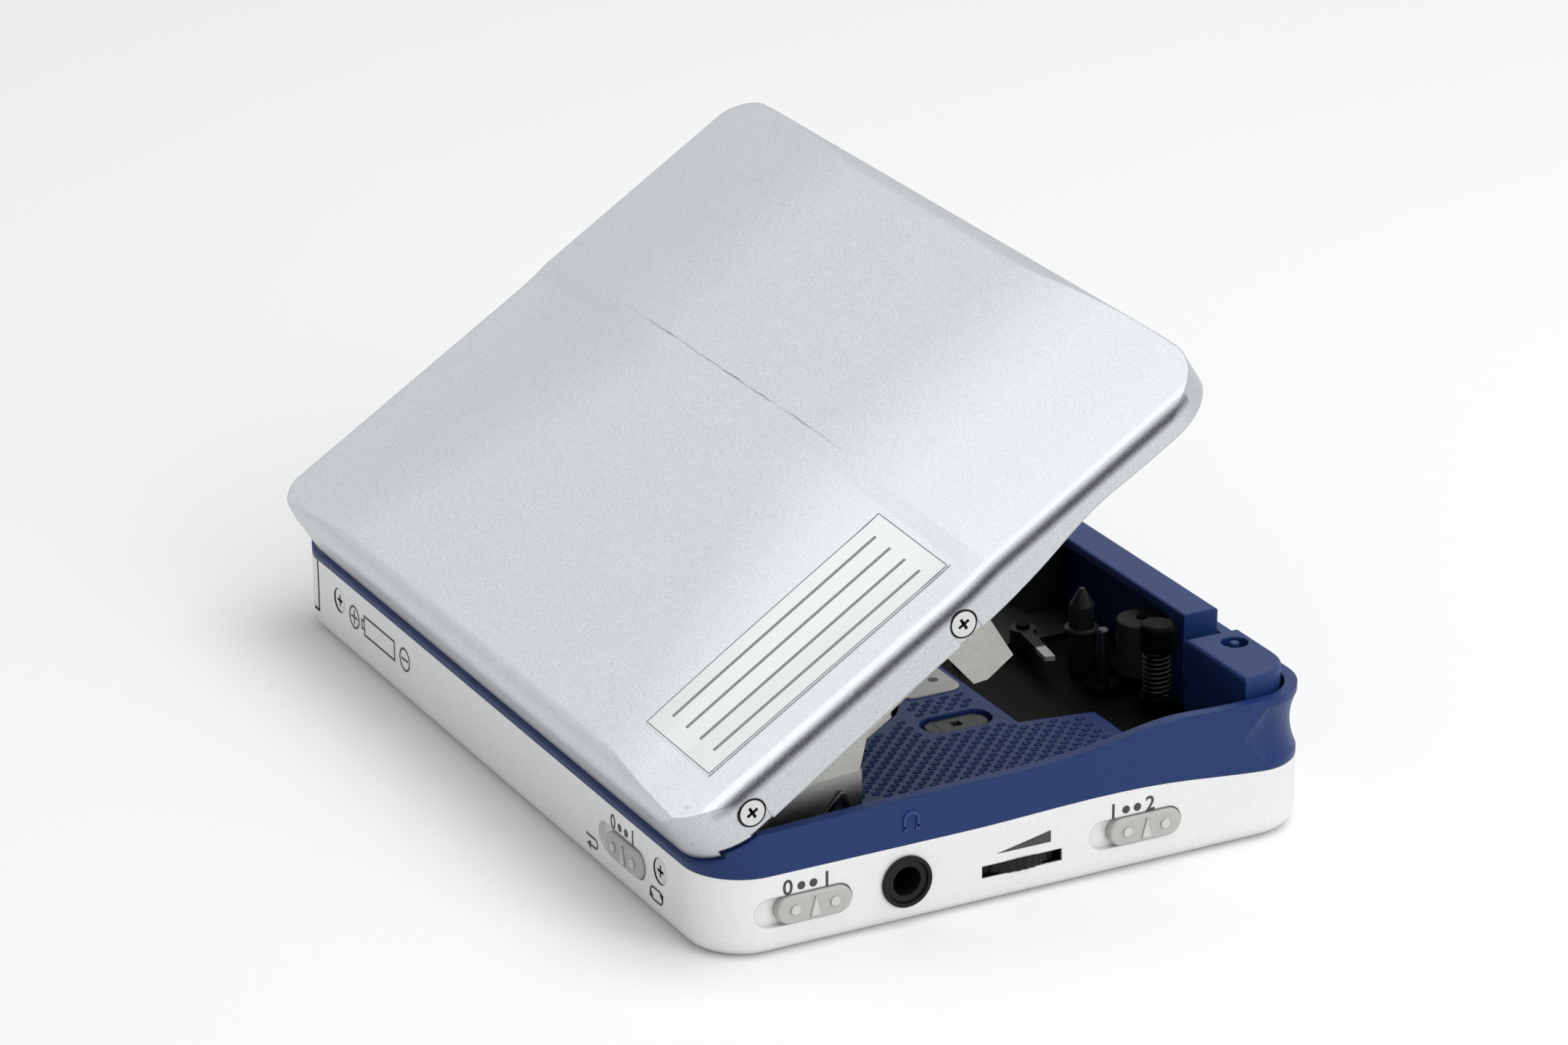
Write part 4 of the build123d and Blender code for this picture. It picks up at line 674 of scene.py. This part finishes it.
def drawDoorGap(size):
    left, low, wide = size["edge"], size["low"], size["wide"]
    outline = [(left - size["tail"], low - wide), (left + wide, low - wide), (left + wide, size["high"]),
               (left, size["high"]), (left, low), (left - size["tail"], low)]
    addMark("door_gap_line", "hinge", [outline], look="shadowGap")


drawDoorGap(doorGap)

# Plain symbols on the keys of the far side
keyMarks = {"level": 5.1, "size": 1.1, "tailShare": 0.7, "doubleGap": 0.95, "squareShare": 1.8,
            "keys": {"rewind": -30.0, "play": -17.5, "forward": -5.0, "stop": 7.5}}


def markKeys(size):
    half, level = size["size"], size["level"]
    for key, place in size["keys"].items():
        x, tail = -place, half * size["tailShare"]
        arrow = [(-tail, -half), (half, 0), (-tail, half)]
        if key == "play":
            outlines = [setOut(arrow, x, level)]
        elif key == "stop":
            outlines = [bar(x, level, size["squareShare"] * half, size["squareShare"] * half)]
        else:
            sense = 1 if key == "forward" else -1
            outlines = [[(x + sense * (along + shift), level + up) for along, up in arrow]
                        for shift in (-size["doubleGap"], size["doubleGap"])]
        addMark(key + "_symbol", "catch", outlines, body=key)


markKeys(keyMarks)
print("printed and raised marks done")

# The cover's label is left blank: a thin outline and plain ruled lines that follow its curve
labelRules = {"xMiddle": 45.15, "yMiddle": -14.9, "width": 14.9, "length": 36.0, "border": 0.25,
              "borderStroke": 0.13, "lines": 4, "lineGap": 3.1, "lineStroke": 0.42, "lineMargin": 2.6,
              "lift": 0.03, "sink": 0.02, "steps": 8, "lookFrom": 40.0}


def labelPoint(finder, x, y, size):
    # the point of the open cover's label above a place on the closed cover
    above = openCover @ Vector((x * mm, y * mm, size["lookFrom"] * mm))
    down = openCover.to_3x3() @ Vector((0, 0, -1))
    return finder.ray_cast(above, down)[0]


def layStrip(shape, finder, start, end, width, size):
    # a thin closed strip from start to end, in equal steps along the curved label
    out = openCover.to_3x3() @ Vector((0, 0, 1))
    way = Vector((end[0] - start[0], end[1] - start[1])).normalized()
    side = Vector((-way.y, way.x)) * width / 2
    lift, sink = size["lift"], -size["sink"]
    rings = []
    for step in range(size["steps"] + 1):
        x, y = (start[axis] + (end[axis] - start[axis]) * step / size["steps"] for axis in (0, 1))
        left = labelPoint(finder, x + side.x, y + side.y, size)
        right = labelPoint(finder, x - side.x, y - side.y, size)
        if left is None or right is None:
            continue
        rings.append([shape.verts.new(point + out * height * mm) for point, height in
                      ((left, lift), (right, lift), (right, sink), (left, sink))])
    for first, second in zip(rings, rings[1:]):
        for corner in range(4):
            following = (corner + 1) % 4
            shape.faces.new((first[corner], first[following], second[following], second[corner]))
    shape.faces.new(rings[0][::-1])
    shape.faces.new(rings[-1])


def ruleLabel(size):
    finder = BVHTree.FromObject(nodes["cover_label"], bpy.context.evaluated_depsgraph_get())
    halfX, halfY = size["width"] / 2 - size["border"], size["length"] / 2 - size["border"]
    x, y = size["xMiddle"], size["yMiddle"]
    corners = [(x - halfX, y - halfY), (x + halfX, y - halfY), (x + halfX, y + halfY), (x - halfX, y + halfY)]
    border, rules = bmesh.new(), bmesh.new()
    for start, end in zip(corners, corners[1:] + corners[:1]):
        layStrip(border, finder, start, end, size["borderStroke"], size)
    reach = size["length"] / 2 - size["lineMargin"]
    for index in range(size["lines"]):
        place = x + (index - (size["lines"] - 1) / 2) * size["lineGap"]
        layStrip(rules, finder, (place, y - reach), (place, y + reach), size["lineStroke"], size)
    for name, shape in (("label_border", border), ("label_rules", rules)):
        addPiece(name, closedMesh(shape, name), "paleInk", "cover")


ruleLabel(labelRules)
print("blank ruled label done")

# Dimples over the deck, by Geometry Nodes. The bare places are left, right, low and high; the shares are
# of the dimple's own length, width and depth.
deckDimples = {"pitchAlong": 2.0, "pitchAcross": 1.0, "length": 1.25, "width": 0.85, "depth": 0.1,
               "deckTop": 10.5, "left": -47.5, "right": 47.5, "low": -33.0, "high": 20.5,
               "reelX": 21.25, "reelY": -5.2, "reelClear": 9.6,
               "farEdge": 11.0, "riseFrom": 36.2, "riseSlope": 5.0, "riseMost": 9.0,
               "bare": [(28.6, 35.4, 0.2, 11.7), (-25.2, 25.3, 2.6, 12.2)], "endFrom": 46.0, "endLow": -11.0,
               "sides": 10, "rimShare": 0.5, "lipShare": 0.4, "bottomShare": 0.22, "hollowShare": 0.9}


def dimplePlaces(size):
    keep, row, x = [], 0, size["left"]
    while x <= size["right"]:
        y = size["low"] + (row % 2) * size["pitchAlong"] / 2
        while y <= size["high"]:
            limit = size["farEdge"]
            if abs(x) >= size["riseFrom"]:
                limit += min(size["riseMost"], (abs(x) - size["riseFrom"]) * size["riseSlope"])
            free = y < limit and not (abs(x) > size["endFrom"] and y < size["endLow"])
            free = free and all(math.hypot(x - side * size["reelX"], y - size["reelY"]) > size["reelClear"]
                                for side in (-1, 1))
            free = free and not any(left < x < right and low < y < high
                                    for left, right, low, high in size["bare"])
            if free:
                keep.append((x * mm, y * mm, size["deckTop"] * mm))
            y += size["pitchAlong"]
        x += size["pitchAcross"]
        row += 1
    return keep


def setOnPoints(group, takes, gives, shape, inputs):
    # the end of a tree: the shape on every point, made real and given its finish
    spread = addNode(group, "GeometryNodeInstanceOnPoints", None,
                     {"Points": takes["Geometry"], "Instance": shape, **inputs})
    real = addNode(group, "GeometryNodeRealizeInstances", None, {"Geometry": spread.outputs[0]})
    painted = addNode(group, "GeometryNodeSetMaterial", None, {"Geometry": real.outputs[0],
                                                               "Material": takes["Finish"]})
    group.links.new(painted.outputs[0], gives["Geometry"])


def makeDimpleTree(size):
    group, takes, gives = newGroup(
        "deckDimples", [("Geometry", "Geometry", None), ("Length", "Float", 0.001), ("Width", "Float", 0.001),
                        ("Depth", "Float", 0.0001), ("Finish", "Material", None)],
        [("Geometry", "Geometry")], "GeometryNodeTree")
    outer = addNode(group, "GeometryNodeMeshCone", {"fill_type": "NONE"},
                    {"Vertices": size["sides"], "Radius Top": size["lipShare"],
                     "Radius Bottom": size["rimShare"], "Depth": 1.0})
    inner = addNode(group, "GeometryNodeMeshCone", {"fill_type": "NGON"},
                    {"Vertices": size["sides"], "Radius Top": size["lipShare"],
                     "Radius Bottom": size["bottomShare"], "Depth": size["hollowShare"]})
    hollow = addNode(group, "GeometryNodeTransform", None,
                     {"Geometry": inner.outputs["Mesh"], "Translation": (0, 0, 1.0 - size["hollowShare"])})
    lidOff = addNode(group, "GeometryNodeDeleteGeometry", {"domain": "FACE"},
                     {"Geometry": hollow.outputs[0], "Selection": inner.outputs["Top"]})
    joined = addNode(group, "GeometryNodeJoinGeometry")
    group.links.new(outer.outputs["Mesh"], joined.inputs[0])
    group.links.new(lidOff.outputs[0], joined.inputs[0])
    scale = addNode(group, "ShaderNodeCombineXYZ", None, {"X": takes["Width"], "Y": takes["Length"],
                                                          "Z": takes["Depth"]}).outputs[0]
    setOnPoints(group, takes, gives, joined.outputs[0], {"Scale": scale})
    return group


def bakeNodes(name, places, group, inputs):
    # runs the tree on a mesh of loose points and returns the plain result
    points = bpy.data.meshes.new(name)
    points.from_pydata(places, [], [])
    holder = addObject(name, points)
    modifier = holder.modifiers.new(name, "NODES")
    modifier.node_group = group
    for item in group.interface.items_tree:
        if item.in_out == "INPUT" and item.name in inputs:
            modifier[item.identifier] = inputs[item.name]
    made = takeMesh(holder)
    bpy.data.meshes.remove(points)
    return made


def pressDimples(size):
    places = dimplePlaces(size)
    mesh = bakeNodes("deck_dimples", places, makeDimpleTree(size),
                     {"Length": size["length"] * mm, "Width": size["width"] * mm, "Depth": size["depth"] * mm,
                      "Finish": finish["bluePlastic"]})
    addPiece("deck_dimples", mesh, "bluePlastic", "base")
    print("deck dimples:", len(places), "with", len(mesh.polygons), "faces")


pressDimples(deckDimples)

# Painted shade: dark crosses where shade falls in the screw heads' cross slots, and dark gaps round their
# rims, by Geometry Nodes
screwSlotShade = {"slot": 1.75, "stroke": 0.42, "thick": 0.04, "rim": 1.62, "rimStroke": 0.11, "rimLift": 0.2,
              "rimSteps": 32, "rimSides": 6,
              "coverPlaces": [(58.03, -32.2, 17.8), (58.03, -0.6, 18.0)], "coverSink": 0.27,
              "casePlaces": [(45.25, -39.4, 6.83), (-44.23, -39.4, 6.83)], "caseSink": 0.2}


def makeScrewShadeTree(size):
    group, takes, gives = newGroup(
        "screwSlotShade", [("Geometry", "Geometry", None), ("Slot", "Float", 0.001), ("Stroke", "Float", 0.001),
                       ("Rim", "Float", 0.001), ("Rim Stroke", "Float", 0.0001),
                       ("Turn", "Vector", (0, 0, 0)), ("Finish", "Material", None)],
        [("Geometry", "Geometry")], "GeometryNodeTree")
    joined = addNode(group, "GeometryNodeJoinGeometry")
    for across, along in (("Slot", "Stroke"), ("Stroke", "Slot")):
        box = addNode(group, "ShaderNodeCombineXYZ", None, {"X": takes[across], "Y": takes[along],
                                                            "Z": size["thick"] * mm})
        arm = addNode(group, "GeometryNodeMeshCube", None, {"Size": box.outputs[0]})
        group.links.new(arm.outputs["Mesh"], joined.inputs[0])
    path, section = (addNode(group, "GeometryNodeCurvePrimitiveCircle", None,
                             {"Resolution": size[steps], "Radius": takes[radius]}).outputs["Curve"]
                     for steps, radius in (("rimSteps", "Rim"), ("rimSides", "Rim Stroke")))
    rim = addNode(group, "GeometryNodeCurveToMesh", None, {"Curve": path, "Profile Curve": section})
    lifted = addNode(group, "GeometryNodeTransform", None,
                     {"Geometry": rim.outputs["Mesh"], "Translation": (0, 0, size["rimLift"] * mm)})
    group.links.new(lifted.outputs[0], joined.inputs[0])
    turn = addNode(group, "FunctionNodeEulerToRotation", None, {0: takes["Turn"]}).outputs[0]
    setOnPoints(group, takes, gives, joined.outputs[0], {"Rotation": turn})
    return group


def paintScrewSlotShade(size):
    tree = makeScrewShadeTree(size)
    sides = [("cover_screw_slot_shade", [(x - size["coverSink"], y, z) for x, y, z in size["coverPlaces"]],
              (0.0, math.pi / 2, 0.0), "cover", openCover),
             ("cover_screw_slot_shade_far", [(size["coverSink"] - x, y, z) for x, y, z in size["coverPlaces"]],
              (0.0, -math.pi / 2, 0.0), "cover", openCover),
             ("case_screw_slot_shade", [(x, y + size["caseSink"], z) for x, y, z in size["casePlaces"]],
              (math.pi / 2, 0.0, 0.0), "base", Matrix())]
    for name, places, turn, body, place in sides:
        mesh = bakeNodes(name, [Vector(spot) * mm for spot in places], tree,
                         {"Slot": size["slot"] * mm, "Stroke": size["stroke"] * mm, "Rim": size["rim"] * mm,
                          "Rim Stroke": size["rimStroke"] * mm, "Turn": turn, "Finish": finish["shadowGap"]})
        mesh.transform(place)
        addPiece(name, mesh, "shadowGap", body)


paintScrewSlotShade(screwSlotShade)
print("screw slots done")

# Collars turned round the locating pins; the profile is radius and level
pinCollars = {"places": [(-24.0, 27.6), (24.0, 27.6)], "steps": 32,
              "profile": [(1.5, 14.6), (2.05, 14.6), (2.15, 14.75), (2.15, 15.05), (1.95, 15.25),
                          (1.5, 15.3)]}


def turnCollars(size):
    shape, steps = bmesh.new(), size["steps"]
    for x, y in size["places"]:
        rings = []
        for radius, level in size["profile"]:
            rings.append([shape.verts.new(Vector((x + radius * math.cos(2 * math.pi * k / steps),
                                                  y + radius * math.sin(2 * math.pi * k / steps),
                                                  level)) * mm) for k in range(steps)])
        for lower, upper in zip(rings, rings[1:] + rings[:1]):
            for k in range(steps):
                following = (k + 1) % steps
                shape.faces.new((lower[k], lower[following], upper[following], upper[k]))
    addPiece("pin_collars", closedMesh(shape, "pin_collars"), "blackPlastic", "base")


turnCollars(pinCollars)

# Dots and small arrows printed on the tape plate
plateMarks = {"dots": [(20.6, 9.2), (20.6, 5.9), (-20.6, 9.2)], "radius": 0.62, "dotSteps": 24, "level": 10.7,
              "arrows": [(15.6, 9.2), (15.6, 5.9)], "arrow": [(-1.1, -0.7), (0.9, 0), (-1.1, 0.7)]}


def markPlate(size):
    outlines = [circle(x, y, size["radius"], size["dotSteps"]) for x, y in size["dots"]]
    outlines += [setOut(size["arrow"], x, y) for x, y in size["arrows"]]
    addMark("plate_marks", "top", outlines, lift=size["level"])


markPlate(plateMarks)

# The lift post's spring wound from fine wire
liftSpring = {"x": 37.0, "y": 30.3, "low": 11.05, "high": 16.45, "radius": 1.62, "wire": 0.13, "turns": 9,
              "steps": 20, "wireSteps": 2}


def windSpring(size):
    curve = bpy.data.curves.new("lift_coil", "CURVE")
    curve.dimensions = "3D"
    curve.bevel_depth = size["wire"] * mm
    curve.bevel_resolution = size["wireSteps"]
    curve.use_fill_caps = True
    spline = curve.splines.new("POLY")
    count = size["turns"] * size["steps"]
    spline.points.add(count)
    for index, point in enumerate(spline.points):
        angle = 2 * math.pi * index / size["steps"]
        level = size["low"] + (size["high"] - size["low"]) * index / count
        point.co = ((size["x"] + size["radius"] * math.cos(angle)) * mm,
                    (size["y"] + size["radius"] * math.sin(angle)) * mm, level * mm, 1)
    mesh = takeMesh(addObject("lift_coil", curve))
    piece = addPiece("lift_coil", mesh, "darkSteel", "base")
    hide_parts("lift_spring")


windSpring(liftSpring)
print("bay details done")

# Studio: pale floor, two soft lamps and a pale world. The opening and the box are angles from their way.
studio = {"floorTone": 0.86, "floorSize": 6.0, "floorRough": 0.9, "floorSpecular": 0.1,
          "aim": (0, 0, 0.02), "keyPower": 6.5, "keySize": 0.9, "keyPlace": (0.15, 0.25, 0.95),
          "sidePower": 4.5, "sideSize": 0.8, "sidePlace": (1.0, 0.3, 0.45),
          "worldLight": 0.52, "sideways": 0.35, "litColour": (0.98, 0.99, 1.0),
          "worldShown": 0.97, "shownColour": (0.98, 0.985, 1.0),
          "openingWay": (0.88, -0.16, 0.44), "openingInside": 0.15, "openingOutside": 0.48,
          "openingDark": 0.8, "boxWay": (-0.2, -0.4, 0.89), "boxInside": 0.45, "boxOutside": 0.82,
          "boxTone": 0.85, "lowFrom": 0.5, "highFrom": 0.95, "lowTone": 0.88, "highTone": 1.0}


def layFloor(given):
    mesh = bpy.data.meshes.new("floor")
    half = given["floorSize"] / 2
    mesh.from_pydata([(-half, -half, 0), (half, -half, 0), (half, half, 0), (-half, half, 0)], [],
                     [(0, 1, 2, 3)])
    floor = addObject("floor", mesh)
    paper = bpy.data.materials.new("paleFloor")
    paper.use_nodes = True
    shader = paper.node_tree.nodes["Principled BSDF"]
    shader.inputs["Base Color"].default_value = (*(given["floorTone"],) * 3, 1)
    shader.inputs["Roughness"].default_value = given["floorRough"]
    shader.inputs["Specular IOR Level"].default_value = given["floorSpecular"]
    mesh.materials.append(paper)


def hangLamps(given):
    for name in ("key", "side"):
        lamp = bpy.data.lights.new(name + "Lamp", "AREA")
        lamp.energy = given[name + "Power"]
        lamp.size = given[name + "Size"]
        holder = addObject(name + "Lamp", lamp)
        holder.location = given[name + "Place"]
        holder.visible_glossy = False
        holder.rotation_mode = "QUATERNION"
        holder.rotation_quaternion = (Vector(given["aim"]) - holder.location).to_track_quat("-Z", "Y")


def background(tree, colour, strength):
    return addNode(tree, "ShaderNodeBackground", None, {"Color": (*colour, 1.0),
                                                        "Strength": strength}).outputs[0]


def buildWorld(given):
    world = bpy.data.worlds.new("paleWorld")
    bpy.context.scene.world = world
    world.use_nodes = True
    tree = world.node_tree
    tree.nodes.clear()
    way = addNode(tree, "ShaderNodeTexCoord").outputs["Generated"]
    parts = splitVector(tree, way)
    # the tent is greyer near the table, has one soft box, and is dark where it is open for the lens
    rise = remap(tree, parts["Z"], given["lowFrom"], given["highFrom"], given["lowTone"], given["highTone"])
    box = remap(tree, dotProduct(tree, way, given["boxWay"]), math.cos(given["boxOutside"]),
                math.cos(given["boxInside"]), 0.0, given["boxTone"], smooth=True)
    opening = remap(tree, dotProduct(tree, way, given["openingWay"]), math.cos(given["openingOutside"]),
                    math.cos(given["openingInside"]), 1.0, 1.0 - given["openingDark"], smooth=True)
    rays = addNode(tree, "ShaderNodeLightPath").outputs
    mirrored = maths(tree, "MAXIMUM", rays["Is Glossy Ray"], rays["Is Transmission Ray"])
    tent = product(tree, maths(tree, "ADD", rise, box), opening, given["worldShown"], mirrored)
    plain = maths(tree, "MULTIPLY", rays["Is Camera Ray"], given["worldShown"])
    shown = background(tree, given["shownColour"], maths(tree, "MAXIMUM", plain, tent))
    sideways = given["sideways"] * given["worldLight"]
    lit = background(tree, given["litColour"],
                     maths(tree, "MULTIPLY_ADD", parts["X"], sideways, given["worldLight"]))
    seen = maths(tree, "MAXIMUM", rays["Is Camera Ray"], mirrored)
    mixed = addNode(tree, "ShaderNodeMixShader", None, {0: seen, 1: lit, 2: shown})
    end = addNode(tree, "ShaderNodeOutputWorld", None, {"Surface": mixed.outputs[0]})
    end.is_active_output = True


layFloor(studio)
hangLamps(studio)
buildWorld(studio)
bpy.context.scene.view_settings.view_transform = "Standard"
print("studio ready")
